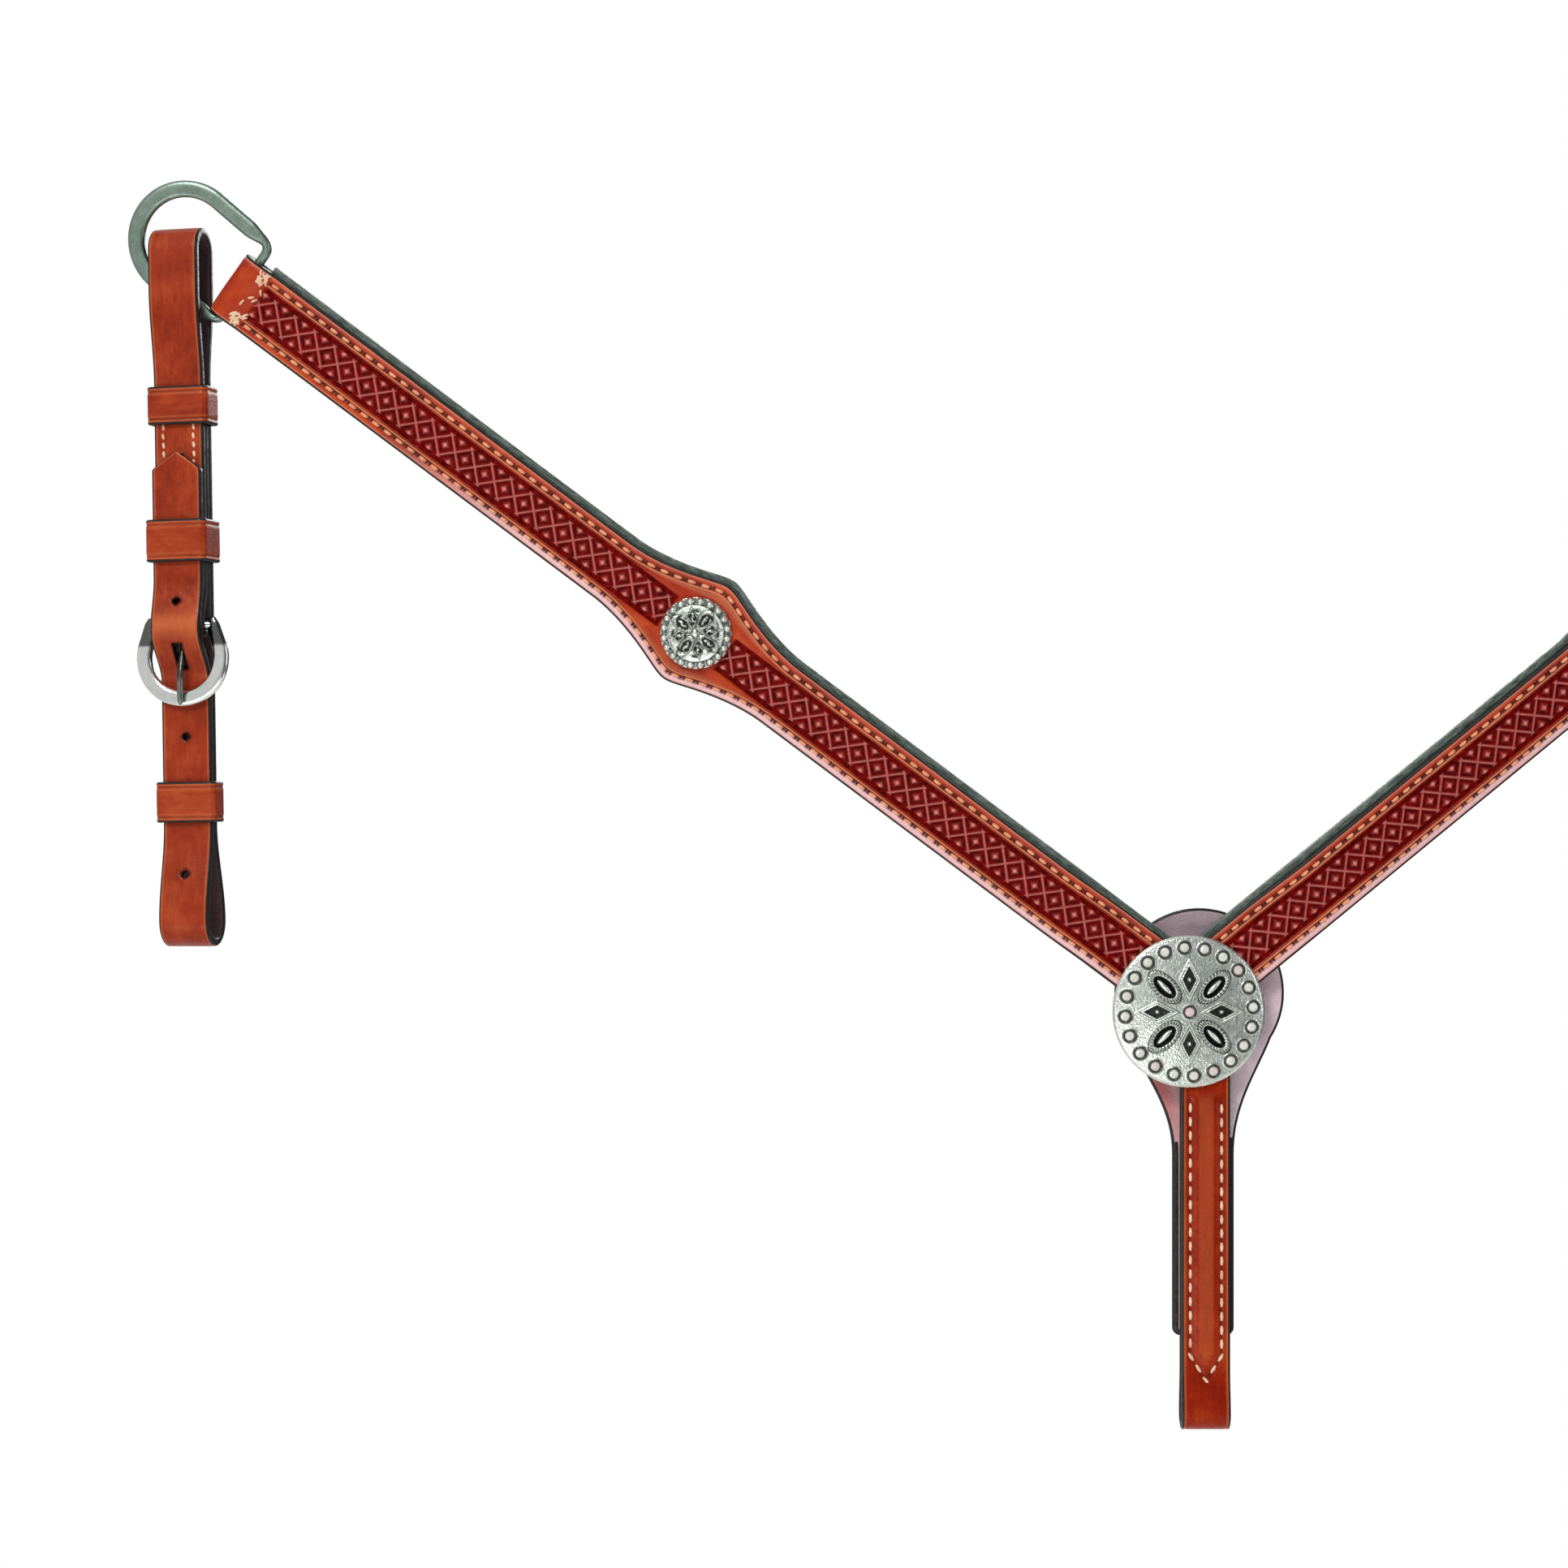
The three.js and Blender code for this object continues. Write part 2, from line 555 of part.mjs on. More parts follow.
// The tug hangs on the straight lower wire of the D-ring.
function tug(side) {
  const ringFrame = armFrame(ARM_ROLL);
  ringFrame.updateMatrixWorld(true);
  const wireSlope = (DEE_ARC_RADIUS - DEE_HALF_BAR) / DEE_ARC_AT;
  const wireY = DEE_OFFSET - DEE_HALF_BAR - TUG_HANG_X * wireSlope;
  const group = new THREE.Group();
  group.position.copy(ringFrame.localToWorld(new THREE.Vector3(DEE_BAR_AT + TUG_HANG_X, wireY, 0)));
  group.rotation.set(0, TUG_LEAN, TUG_YAW, 'ZYX');
  const hung = new THREE.Group();
  hung.position.y = TUG_MIDDLE;
  group.add(hung);
  hung.add(named(`${side}_tug_strap`, tugStrap(), CHESTNUT));
  hung.add(named(`${side}_buckle_frame`, buckleFrame(), BRIGHT_SILVER));
  hung.add(named(`${side}_buckle_tongue`, buckleTongue(), NICKEL));
  KEEPERS.forEach((one) => {
    const mesh = named(`${side}_keeper_${one.name}`, keeper(one), CHESTNUT);
    mesh.position.z = one.at;
    hung.add(mesh);
  });
  return group;
}

const breastplate = new THREE.Group();
breastplate.add(centre());
for (const side of ['left', 'right']) {
  const half = new THREE.Group();
  if (side === 'left') half.scale.x = -1;
  else half.rotation.y = -RIGHT_ARM_EXTRA;
  half.add(armRoot(side), arm(side), tug(side));
  breastplate.add(half);
}

export default breastplate;
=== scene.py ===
"""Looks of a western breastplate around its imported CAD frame. Lengths are in mm until a mesh is made."""
import math

import bpy
import numpy as np
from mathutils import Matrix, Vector


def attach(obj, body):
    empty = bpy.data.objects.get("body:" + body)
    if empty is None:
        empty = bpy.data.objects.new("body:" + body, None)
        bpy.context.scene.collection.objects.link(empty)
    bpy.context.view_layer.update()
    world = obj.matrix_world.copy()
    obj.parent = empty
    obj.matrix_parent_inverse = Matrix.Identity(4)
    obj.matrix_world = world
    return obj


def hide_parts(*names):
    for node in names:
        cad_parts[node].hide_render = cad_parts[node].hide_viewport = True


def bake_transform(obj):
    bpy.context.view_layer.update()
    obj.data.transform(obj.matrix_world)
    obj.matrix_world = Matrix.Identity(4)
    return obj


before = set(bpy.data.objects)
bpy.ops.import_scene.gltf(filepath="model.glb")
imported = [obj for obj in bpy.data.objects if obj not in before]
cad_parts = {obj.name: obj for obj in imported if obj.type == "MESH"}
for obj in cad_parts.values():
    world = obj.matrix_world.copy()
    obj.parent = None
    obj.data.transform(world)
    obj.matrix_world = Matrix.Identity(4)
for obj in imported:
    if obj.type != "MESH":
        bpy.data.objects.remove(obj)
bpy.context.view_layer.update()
scene = bpy.context.scene

MM = 0.001
GAP = 0.3

# Arms
ARM_ANGLE = math.radians(36.8)
RIGHT_ARM_EXTRA = math.radians(2.6)
ARM_RISE = 4.0
ARM_ROLL = math.radians(10)
ARM_HALF = 13.4
ARM_START = 21.0
ARM_FRONT = 4.25
ARM_INNER = -0.05
LINING_TOP = -0.35
ARM_MIDDLE_Y = -7.75
LINING_PROUD = 2.2
TWIST_FROM, TWIST_TO = 40.0, 75.0
FLARE_AT = 246.6
FLARE_HALF_LENGTH = 42.0
FLARE_HEIGHT = 9.4
FLARE_ROUND = 0.1
FLARE_POWER = 1.8
DEE_BAR_AT = 474.0
FOLD_START = 454.0
FOLD_RADIUS = 6.1
DEE_BAR_EYE = np.array([DEE_BAR_AT, 0.0])
FOLD_RISE = 1.75

# Tooling: a lattice of raised lines with a small pyramid in each diamond.
REPEAT = 9.75
PHASE = 5.6
CELL = REPEAT / 24
STAMP_HALF = 5.75
BAND_HALF = 19 * CELL
TOOLING_END = 466.0
STITCH_END = 466.5
BULGE_FROM = 464.4
BULGE_LENGTH = 8.4
BAR_TACK_AT = 468.2
STITCH_PITCH = 5.8
STITCH_INSET = 3.5

# Centre
BACKING = 3.2
BACKING_X = 5.6
BACKING_LIFT = 6.8
BACKING_RADIUS = 33.9
TAIL_TOP = -58.0
TAIL_WIDTH = 24.6
TAIL_BOTTOM = -130.3
DOWN_X = 7.1
DOWN_WIDTH = 19.4
DOWN_LEATHER = 3.1
DOWN_TOP = 9.0
DOWN_BOTTOM = -166.8
DOWN_TAPER = -142.0
DOWN_LOOP_RADIUS = 5.05
V_HALF = 6.2
V_TOP = -36.0
V_SHOULDER = -137.0
V_POINT = -146.8
STACK_FRONT = -12.0
LARGE_RADIUS = 30.15
SMALL_RADIUS = 14.35

# D-ring
DEE_OFFSET = 2.9
DEE_BAR_RADIUS = 1.9
DEE_HALF_BAR = 18.4
DEE_ARC_AT = 29.0
DEE_ARC_RADIUS = 20.3
DEE_WIRE = 6.6
DEE_THICK = 4.2

# Tug
TUG_WIDTH = 20.6
TUG_LEATHER = 3.1
TUG_YAW = math.radians(12)
TUG_LEAN = math.radians(0.9)
TUG_HANG_X = 18.0
TUG_LAYER = TUG_LEATHER + GAP
TUG_MIDDLE = 4.95
LOWER_LOOP_FROM = -211.0
UPPER_LOOP_FROM = -35.5
BILLET_FLAT_TO = -113.0
TOP_LOOP_DEPTH = 18.5
TOP_FOLD = 27.2
BOTTOM_LOOP_DEPTH = 20.5
BOTTOM_LOOP_MIDDLE = 2.6
BOTTOM_FOLD = -259.4
BILLET_TIP = -62.7
BILLET_POINT = 6.6
CHAPE_END = -47.3
HEEL_BAR = -131.3
HEEL_BAR_DEPTH = 8.7
HEEL_BAR_RADIUS = 1.75
BILLET_HOLES = (-122.3, -175.6, -230.7)
HOLE_RADIUS = 1.5
SLOT = (-148.2, -138.2)
BUCKLE_RADIUS = 19.35
BUCKLE_BAND = 6.3
BUCKLE_CENTRE = -144.25
BUCKLE_THICK = 3.4
BUCKLE_MOUTH = TUG_WIDTH / 2 + 0.4
BUCKLE_SHOULDER = BUCKLE_MOUTH + 4.2
KEEPER_WALL = 2.2
KEEPERS = (("top", -43.8, 15.2, 3), ("middle", -97.8, 16.8, 4), ("bottom", -201.7, 16.2, 2))


# Camera ----------------------------------------------------------------------------------------

VIEW_CENTRE = (-0.1606, 0.0903)
VIEW_WIDTH = 0.623
VIEW_DISTANCE = 1.35

camera_data = bpy.data.cameras.new("camera")
camera_data.sensor_width = 36
camera_data.lens = 36 * VIEW_DISTANCE / VIEW_WIDTH
camera = bpy.data.objects.new("camera", camera_data)
camera.location = (VIEW_CENTRE[0], -VIEW_DISTANCE - 0.012, VIEW_CENTRE[1])
camera.rotation_euler = (math.pi / 2, 0, 0)
scene.collection.objects.link(camera)
scene.camera = camera
scene.view_settings.view_transform = "Standard"


# Frames ----------------------------------------------------------------------------------------

def turn(axis, angle):
    """A 4x4 rotation about x, y or z."""
    a, b = {"x": (1, 2), "y": (2, 0), "z": (0, 1)}[axis]
    made = np.eye(4)
    made[a, a] = made[b, b] = math.cos(angle)
    made[b, a] = math.sin(angle)
    made[a, b] = -math.sin(angle)
    return made


def shift(x, y, z):
    made = np.eye(4)
    made[:3, 3] = x, y, z
    return made


SIDES = {"left": np.diag([-1.0, 1.0, 1.0, 1.0]), "right": turn("y", -RIGHT_ARM_EXTRA)}


def arm_frame(side, roll):
    """X along the arm, Y towards its upper edge, Z out of its face."""
    root = shift(-ARM_RISE * math.sin(ARM_ANGLE), ARM_MIDDLE_Y, ARM_RISE * math.cos(ARM_ANGLE))
    return SIDES[side] @ root @ turn("y", -ARM_ANGLE) @ turn("x", math.pi / 2 + roll)


def tug_frame(side):
    """X across the strap, Y backwards, Z up it from the ring wire."""
    slope = (DEE_ARC_RADIUS - DEE_HALF_BAR) / DEE_ARC_AT
    wire = (DEE_BAR_AT + TUG_HANG_X, DEE_OFFSET - DEE_HALF_BAR - TUG_HANG_X * slope, 0, 1)
    hang = np.linalg.inv(SIDES[side]) @ arm_frame(side, ARM_ROLL) @ wire
    lean = turn("z", TUG_YAW) @ turn("y", TUG_LEAN) @ shift(0, TUG_MIDDLE, 0)
    return SIDES[side] @ shift(*hang[:3]) @ lean


def ease01(t):
    t = np.clip(t, 0, 1)
    return t * t * (3 - 2 * t)


def twist(points):
    """Rolls an arm's flat points about its own axis, from none at the centre to the full roll."""
    roll = ARM_ROLL * ease01((points[:, 0] - TWIST_FROM) / (TWIST_TO - TWIST_FROM))
    made = points.copy()
    made[:, 1] = points[:, 1] * np.cos(roll) - points[:, 2] * np.sin(roll)
    made[:, 2] = points[:, 1] * np.sin(roll) + points[:, 2] * np.cos(roll)
    return made


# Meshes ----------------------------------------------------------------------------------------

def fans(faces):
    """Triangles of a list of arrays of faces with 3, 4 or more corners each."""
    parts = []
    for group in faces:
        for corner in range(1, group.shape[1] - 1):
            parts.append(group[:, [0, corner, corner + 1]])
    return np.concatenate(parts)


def build(name, points, faces, base, looks, kinds=None, place=None, **fields):
    """A mesh object from local points. faces is a list of arrays, and it is turned to face outwards."""
    local = np.asarray(points, float)
    world = (local @ base[:3, :3].T + base[:3, 3]) * MM
    faces = [np.asarray(group, int) for group in faces if len(group)]
    tris = world[fans(faces)]
    volume = np.einsum("ij,ij->", tris[:, 0], np.cross(tris[:, 1], tris[:, 2]))
    flat = [face for group in faces for face in (group[:, ::-1] if volume < 0 else group).tolist()]
    mesh = bpy.data.meshes.new(name)
    mesh.from_pydata(world.tolist(), [], flat)
    mesh.polygons.foreach_set("use_smooth", np.ones(len(flat), bool))
    for look in looks:
        mesh.materials.append(look)
    if kinds is not None:
        mesh.polygons.foreach_set("material_index", np.concatenate([np.ravel(k) for k in kinds]))
    spots = mesh.attributes.new("place", "FLOAT_VECTOR", "POINT")
    spots.data.foreach_set("vector", np.asarray(local if place is None else place, np.float32).ravel())
    for key, values in fields.items():
        layer = mesh.attributes.new(key, "FLOAT", "POINT")
        layer.data.foreach_set("value", np.asarray(values, np.float32).ravel())
    made = bpy.data.objects.new(name, mesh)
    scene.collection.objects.link(made)
    return made


def grid_faces(rows, columns, wrap_rows=False, wrap_columns=False, start=0):
    """Quads of a grid of points stored row by row."""
    i = np.arange(rows if wrap_rows else rows - 1)
    j = np.arange(columns if wrap_columns else columns - 1)
    i, j = np.meshgrid(i, j, indexing="ij")
    below, right = (i + 1) % rows, (j + 1) % columns
    here, under = i * columns, below * columns
    return start + np.stack([here + j, under + j, under + right, here + right], -1)


def end_caps(rows, columns):
    """The two end faces of a tube of points stored row by row."""
    ring = np.arange(columns)
    return [ring[None], ((rows - 1) * columns + ring)[None, ::-1]]


def normals_of(line):
    """Unit normals to the left of a plane line, point by point."""
    along = np.gradient(line, axis=0)
    along /= np.linalg.norm(along, axis=1, keepdims=True)
    return np.stack([-along[:, 1], along[:, 0]], 1)


FRONT, EDGE, BACK = 0, 1, 2


class Skin:
    """A strap between an outer and an inner plane curve, with rounded edges, as one closed surface.
    Its points are (curve, across, curve): across is the width."""

    def __init__(self, outer, inner, half, columns, lift=None, round_outer=0.7, round_inner=0.4, loop=False):
        n, m = len(outer), np.shape(columns)[-1]
        half = np.broadcast_to(np.asarray(half, float), (n,))[:, None]
        columns = np.broadcast_to(np.asarray(columns, float), (n, m)) if np.ndim(columns) == 1 else columns
        span = outer - inner
        thick = np.linalg.norm(span, axis=1)[:, None]
        up = span / thick
        lift = np.zeros((n, m)) if lift is None else lift
        turn_out = np.radians([30, 60, 90])
        turn_in = np.radians([0, 45, 90])
        soft = np.minimum(round_outer, half * 0.5)
        soft_in = np.minimum(round_inner, half * 0.5)
        side_out_w = half - soft + soft * np.sin(turn_out)
        side_out_q = thick - soft + soft * np.cos(turn_out)
        side_in_w = half - soft_in + soft_in * np.cos(turn_in)
        side_in_q = soft_in - soft_in * np.sin(turn_in) + 0 * thick
        back_w = (columns * (half - soft_in) / np.maximum(half - soft, 1e-6))[:, 1:-1][:, ::-1]
        width = np.concatenate([columns, side_out_w, side_in_w, back_w,
                                -side_in_w[:, ::-1], -side_out_w[:, ::-1]], 1)
        height = np.concatenate([thick + lift, side_out_q, side_in_q, np.zeros((n, m - 2)),
                                 side_in_q[:, ::-1], side_out_q[:, ::-1]], 1)
        self.n, self.m, self.loop_count = n, m, 2 * m + 10
        self.columns = columns
        a = inner[:, 0:1] + up[:, 0:1] * height
        b = inner[:, 1:2] + up[:, 1:2] * height
        self.points = np.stack([a, width, b], -1).reshape(-1, 3)
        quads = grid_faces(n, self.loop_count, wrap_rows=loop, wrap_columns=True)
        kinds = np.full(self.loop_count, BACK)
        kinds[:m - 1] = FRONT
        kinds[m - 1:m + 5] = EDGE
        kinds[2 * m + 4:] = EDGE
        self.quads = quads
        self.kinds = np.broadcast_to(kinds, quads.shape[:2]).copy()
        self.keep = np.ones(quads.shape[:2], bool)
        self.walls = []
        self.caps = [] if loop else end_caps(n, self.loop_count)

    def wall(self, i, j, next_i, next_j):
        """One quad of an opening's wall, from the outer face down to the inner one."""
        behind = 2 * self.m + 4
        here, there = i * self.loop_count, next_i * self.loop_count
        self.walls.append([here + j, there + next_j, there + behind - next_j, here + behind - j])

    def cut(self, i0, i1, j0, j1):
        """An opening through both faces, between rows i0 and i1 and columns j0 and j1, with its walls."""
        self.keep[i0:i1, j0:j1] = False
        self.keep[i0:i1, 2 * self.m + 4 - j1:2 * self.m + 4 - j0] = False
        for i in range(i0, i1):
            self.wall(i, j0, i + 1, j0)
            self.wall(i + 1, j1, i, j1)
        for j in range(j0, j1):
            self.wall(i0, j + 1, i0, j)
            self.wall(i1, j, i1, j + 1)

    def faces(self):
        walls = np.array(self.walls, int).reshape(-1, 4)
        groups = [self.quads[self.keep], walls, *self.caps]
        kinds = [self.kinds[self.keep], np.full(len(walls), EDGE), np.full(len(self.caps), EDGE)]
        return groups, kinds

    def field(self, values):
        """The outer face's values by column, and 0 on the edges and the inner face."""
        made = np.zeros((self.n, self.loop_count))
        made[:, :self.m] = values
        return made.ravel()


def resample(line, stops):
    """Points of a plane polyline at distances along it."""
    steps = np.linalg.norm(np.diff(line, axis=0), axis=1)
    along = np.concatenate([[0], np.cumsum(steps)])
    return np.stack([np.interp(stops, along, line[:, k]) for k in range(line.shape[1])], 1)


def length_of(line):
    return np.linalg.norm(np.diff(line, axis=0), axis=1).sum()


def arc(y, z, radius, start, end, steps):
    angle = np.radians(np.linspace(start, end, steps + 1))
    return np.stack([y + radius * np.cos(angle), z + radius * np.sin(angle)], 1)


def swing(start, end, steps=24):
    """Points between two places, easing out of and into the upright direction."""
    t = np.linspace(0, 1, steps + 1)[1:-1]
    return np.stack([start[0] + (end[0] - start[0]) * ease01(t), start[1] + (end[1] - start[1]) * t], 1)


def lines(*parts):
    return np.concatenate([np.atleast_2d(np.asarray(part, float)) for part in parts])


# Thread ----------------------------------------------------------------------------------------

def stitches(spots, along, up, length=3.4, radius=0.62, sink=0.75):
    """Short two-ply threads. spots, along and up are arrays with a row for each stitch."""
    rings, sides = 11, 8
    spots, along, up = (np.asarray(v, float).reshape(-1, 3) for v in (spots, along, up))
    size = np.broadcast_to(np.asarray(length, float), (len(spots),))
    along = along / np.linalg.norm(along, axis=1, keepdims=True)
    across = np.cross(up, along)
    across /= np.linalg.norm(across, axis=1, keepdims=True)
    up = np.cross(along, across)
    t = np.linspace(-1, 1, rings)
    angle = np.linspace(0, 2 * math.pi, sides, endpoint=False)
    tt, aa = np.meshgrid(t, angle, indexing="ij")
    ply = 1 + 0.13 * np.cos(2 * (aa + 2.6 * tt))
    girth = radius * np.sqrt(1 - 0.75 * np.abs(tt) ** 5) * ply
    rise = radius * 0.35 - sink * np.abs(tt) ** 3.2
    u = (tt / 2).ravel()
    v = (girth * np.cos(aa)).ravel()
    w = (0.8 * girth * np.sin(aa) + rise).ravel()
    points = (spots[:, None, :] + along[:, None, :] * u[None, :, None] * size[:, None, None]
              + across[:, None, :] * v[None, :, None] + up[:, None, :] * w[None, :, None])
    block = rings * sides
    quads = grid_faces(rings, sides, wrap_columns=True).reshape(-1, 4)
    starts = np.arange(len(spots)) * block
    all_quads = (starts[:, None, None] + quads[None]).reshape(-1, 4)
    first, last = (starts[:, None] + cap for cap in end_caps(rings, sides))
    return points.reshape(-1, 3), [all_quads, first, last]


def merged(parts):
    """One set of points and faces from several."""
    points, faces, offset = [], [], 0
    for some, groups in parts:
        points.append(some)
        faces += [group + offset for group in groups]
        offset += len(some)
    return np.concatenate(points), faces


# Materials -------------------------------------------------------------------------------------

def srgb(r, g, b):
    """Linear colour from 0..255 values."""
    return tuple(((v / 255 + 0.055) / 1.055) ** 2.4 if v > 10 else v / 3294.6 for v in (r, g, b)) + (1.0,)


class Look:
    """A small builder for node materials. Coordinates are each piece's own, in mm."""

    def __init__(self, name, rest_coordinates=True):
        self.material = bpy.data.materials.new(name)
        self.material.use_nodes = True
        self.tree = self.material.node_tree
        self.shader = self.tree.nodes["Principled BSDF"]
        if rest_coordinates:
            node = self.tree.nodes.new("ShaderNodeAttribute")
            node.attribute_name = "place"
            self.coordinates = node.outputs["Vector"]
        else:
            coordinate = self.tree.nodes.new("ShaderNodeTexCoord")
            node = self.tree.nodes.new("ShaderNodeVectorMath")
            node.operation = "SCALE"
            node.inputs["Scale"].default_value = 1 / MM
            self.tree.links.new(coordinate.outputs["Object"], node.inputs[0])
            self.coordinates = node.outputs[0]

    def link(self, value, socket):
        if isinstance(value, bpy.types.NodeSocket):
            self.tree.links.new(value, socket)
        else:
            socket.default_value = value

    def noise(self, scale, detail=3.0, rough=0.55, stretch=None):
        node = self.tree.nodes.new("ShaderNodeTexNoise")
        node.inputs["Scale"].default_value = scale
        node.inputs["Detail"].default_value = detail
        node.inputs["Roughness"].default_value = rough
        self.link(self.stretched(stretch), node.inputs["Vector"])
        return node.outputs["Fac"]

    def cells(self, scale, feature="F1"):
        node = self.tree.nodes.new("ShaderNodeTexVoronoi")
        node.feature = feature
        node.inputs["Scale"].default_value = scale
        self.link(self.coordinates, node.inputs["Vector"])
        return node.outputs["Distance"]

    def stretched(self, stretch):
        if stretch is None:
            return self.coordinates
        node = self.tree.nodes.new("ShaderNodeVectorMath")
        node.operation = "MULTIPLY"
        node.inputs[1].default_value = stretch
        self.link(self.coordinates, node.inputs[0])
        return node.outputs[0]

    def value(self, name):
        node = self.tree.nodes.new("ShaderNodeAttribute")
        node.attribute_name = name
        return node.outputs["Fac"]

    def range(self, value, low, high, to_low=0.0, to_high=1.0):
        node = self.tree.nodes.new("ShaderNodeMapRange")
        self.link(value, node.inputs["Value"])
        for key, number in (("From Min", low), ("From Max", high), ("To Min", to_low), ("To Max", to_high)):
            node.inputs[key].default_value = number
        return node.outputs["Result"]

    def math(self, kind, a, b=0.0):
        node = self.tree.nodes.new("ShaderNodeMath")
        node.operation = kind
        self.link(a, node.inputs[0])
        self.link(b, node.inputs[1])
        return node.outputs[0]

    def mix(self, share, a, b):
        node = self.tree.nodes.new("ShaderNodeMix")
        node.data_type = "RGBA"
        self.link(share, node.inputs[0])
        self.link(a, node.inputs[6])
        self.link(b, node.inputs[7])
        return node.outputs[2]

    def ramp(self, value, *stops):
        node = self.tree.nodes.new("ShaderNodeValToRGB")
        elements = node.color_ramp.elements
        while len(elements) < len(stops):
            elements.new(0.5)
        for element, (place, color) in zip(elements, stops):
            element.position = place
            element.color = color
        self.link(value, node.inputs[0])
        return node.outputs[0]

    def bump(self, height, distance, after=None):
        node = self.tree.nodes.new("ShaderNodeBump")
        node.inputs["Strength"].default_value = 1.0
        node.inputs["Distance"].default_value = distance * MM
        self.link(height, node.inputs["Height"])
        if after is not None:
            self.link(after, node.inputs["Normal"])
        return node.outputs[0]

    def finish(self, **sockets):
        for key, value in sockets.items():
            self.link(value, self.shader.inputs[key.replace("_", " ")])
        return self.material


def grain_bump(look, fine=0.05, pores=0.05):
    """The fine pebble and the wrinkles of finished leather."""
    pebble = look.bump(look.cells(1.9, "SMOOTH_F1"), pores)
    cloud = look.bump(look.noise(0.35, 4), fine * 4, pebble)
    return look.bump(look.noise(5.0, 2), fine * 0.35, cloud)


def chestnut(name, deep, main, bright, rough=0.36):
    """Smooth dyed bridle leather. Wear and painted highlights lighten edges, ridges, bends and raised parts;
    painted shade darkens creases, stitch grooves and hole rims, and seams are darkened as joints.
    """
    look = Look(name)
    clouds = look.noise(0.045, 5, 0.6)
    streaks = look.noise(0.5, 3, 0.6, stretch=(0.25, 1, 1))
    mottle = look.math("ADD", look.math("MULTIPLY", clouds, 0.7), look.math("MULTIPLY", streaks, 0.3))
    color = look.ramp(mottle, (0.34, deep), (0.5, main), (0.66, bright))
    # Wear and painted highlight, mixed in towards a light orange.
    worn_and_highlit = look.mix(look.value("wear"), color, srgb(206, 112, 66))
    # Painted shade, and dark seams, mixed in towards near black.
    dark = look.mix(look.value("dark"), worn_and_highlit, srgb(38, 10, 6))
    roughness = look.range(look.noise(0.9, 4), 0.3, 0.7, rough - 0.07, rough + 0.1)
    return look.finish(Base_Color=dark, Roughness=roughness, Normal=grain_bump(look),
                       Specular_IOR_Level=0.32, Specular_Tint=(1, 0.5, 0.36, 1),
                       Coat_Weight=0.06, Coat_Roughness=0.2)


def tooled_leather():
    """Chestnut leather that turns deep red where it is stamped. Painted highlights make the raised lines and
    pyramid tips pale, a painted sheen makes the lower margin pale pink, wear and painted highlights lighten
    the bead lines and edges, and painted shade darkens the stitch pits and crease grooves.
    """
    look = Look("tooled_leather")
    clouds = look.noise(0.05, 5, 0.6)
    relief, tooled = look.value("relief"), look.value("tooled")
    plain = look.ramp(clouds, (0.35, srgb(134, 26, 6)), (0.5, srgb(164, 46, 14)), (0.66, srgb(186, 68, 26)))
    ground = look.ramp(look.noise(0.35, 4), (0.35, srgb(70, 1, 1)), (0.65, srgb(118, 6, 8)))
    # Painted highlight: the pale pink of the raised lines and the pyramid tips.
    highlight_color = look.mix(look.noise(0.6, 3), srgb(200, 82, 76), srgb(238, 150, 140))
    color = look.mix(tooled, plain, look.mix(relief, ground, highlight_color))
    # Painted sheen: the lower margin is mixed towards pale pink.
    pale = look.mix(look.value("bloom"), color, srgb(226, 186, 190))
    # Wear and painted highlight: the bead lines and edges are lightened.
    worn_and_highlit = look.mix(look.value("wear"), pale, srgb(228, 140, 100))
    # Painted shade: the stitch pits and crease grooves are darkened.
    dark = look.mix(look.value("dark"), worn_and_highlit, srgb(52, 4, 3))
    flat = look.math("MULTIPLY", tooled, look.math("SUBTRACT", 1.0, relief))
    roughness = look.range(look.noise(0.9, 4), 0.3, 0.7, 0.3, 0.46)
    return look.finish(Base_Color=dark, Roughness=roughness, Normal=grain_bump(look, 0.04, 0.04),
                       Specular_IOR_Level=look.range(flat, 0.0, 1.0, 0.34, 0.05),
                       Specular_Tint=(1, 0.55, 0.45, 1), Coat_Weight=look.range(flat, 0.0, 1.0, 0.08, 0.0),
                       Coat_Roughness=0.22)


def edge_leather(name, low, middle, high):
    """Burnished edge, rubbed smooth, with fibres running along it, blackened where it is shaded."""
    look = Look(name)
    fibres = look.noise(1.1, 4, 0.6, stretch=(0.25, 1, 1.6))
    fibre_color = look.ramp(fibres, (0.35, low), (0.6, middle), (0.8, high))
    color = look.mix(look.value("shade"), fibre_color, srgb(12, 10, 9))
    roughness = look.range(look.noise(0.7, 3), 0.3, 0.7, 0.26, 0.44)
    normal = look.bump(fibres, 0.1, look.bump(look.noise(0.12, 3), 0.5))
    return look.finish(Base_Color=color, Roughness=roughness, Normal=normal, Coat_Weight=0.1,
                       Specular_IOR_Level=0.28, Coat_Roughness=0.28)


def flesh_leather(name, low, high, rough=0.62, sheen=0.3, rest_coordinates=True):
    """The fibrous inner side of leather."""
    look = Look(name, rest_coordinates)
    fibre = look.noise(1.6, 5, 0.7)
    clouds = look.noise(0.06, 4)
    mottle = look.math("ADD", look.math("MULTIPLY", clouds, 0.6), look.math("MULTIPLY", fibre, 0.4))
    color = look.ramp(mottle, (0.36, low), (0.64, high))
    red = look.mix(look.value("wear"), color, srgb(196, 92, 80))
    dark = look.mix(look.value("dark"), red, srgb(40, 26, 34))
    normal = look.bump(fibre, 0.16, look.bump(look.cells(0.8), 0.12))
    roughness = look.range(clouds, 0.35, 0.65, rough - 0.08, rough + 0.08)
    return look.finish(Base_Color=dark, Roughness=roughness, Normal=normal, Sheen_Weight=sheen,
                       Sheen_Roughness=0.45)


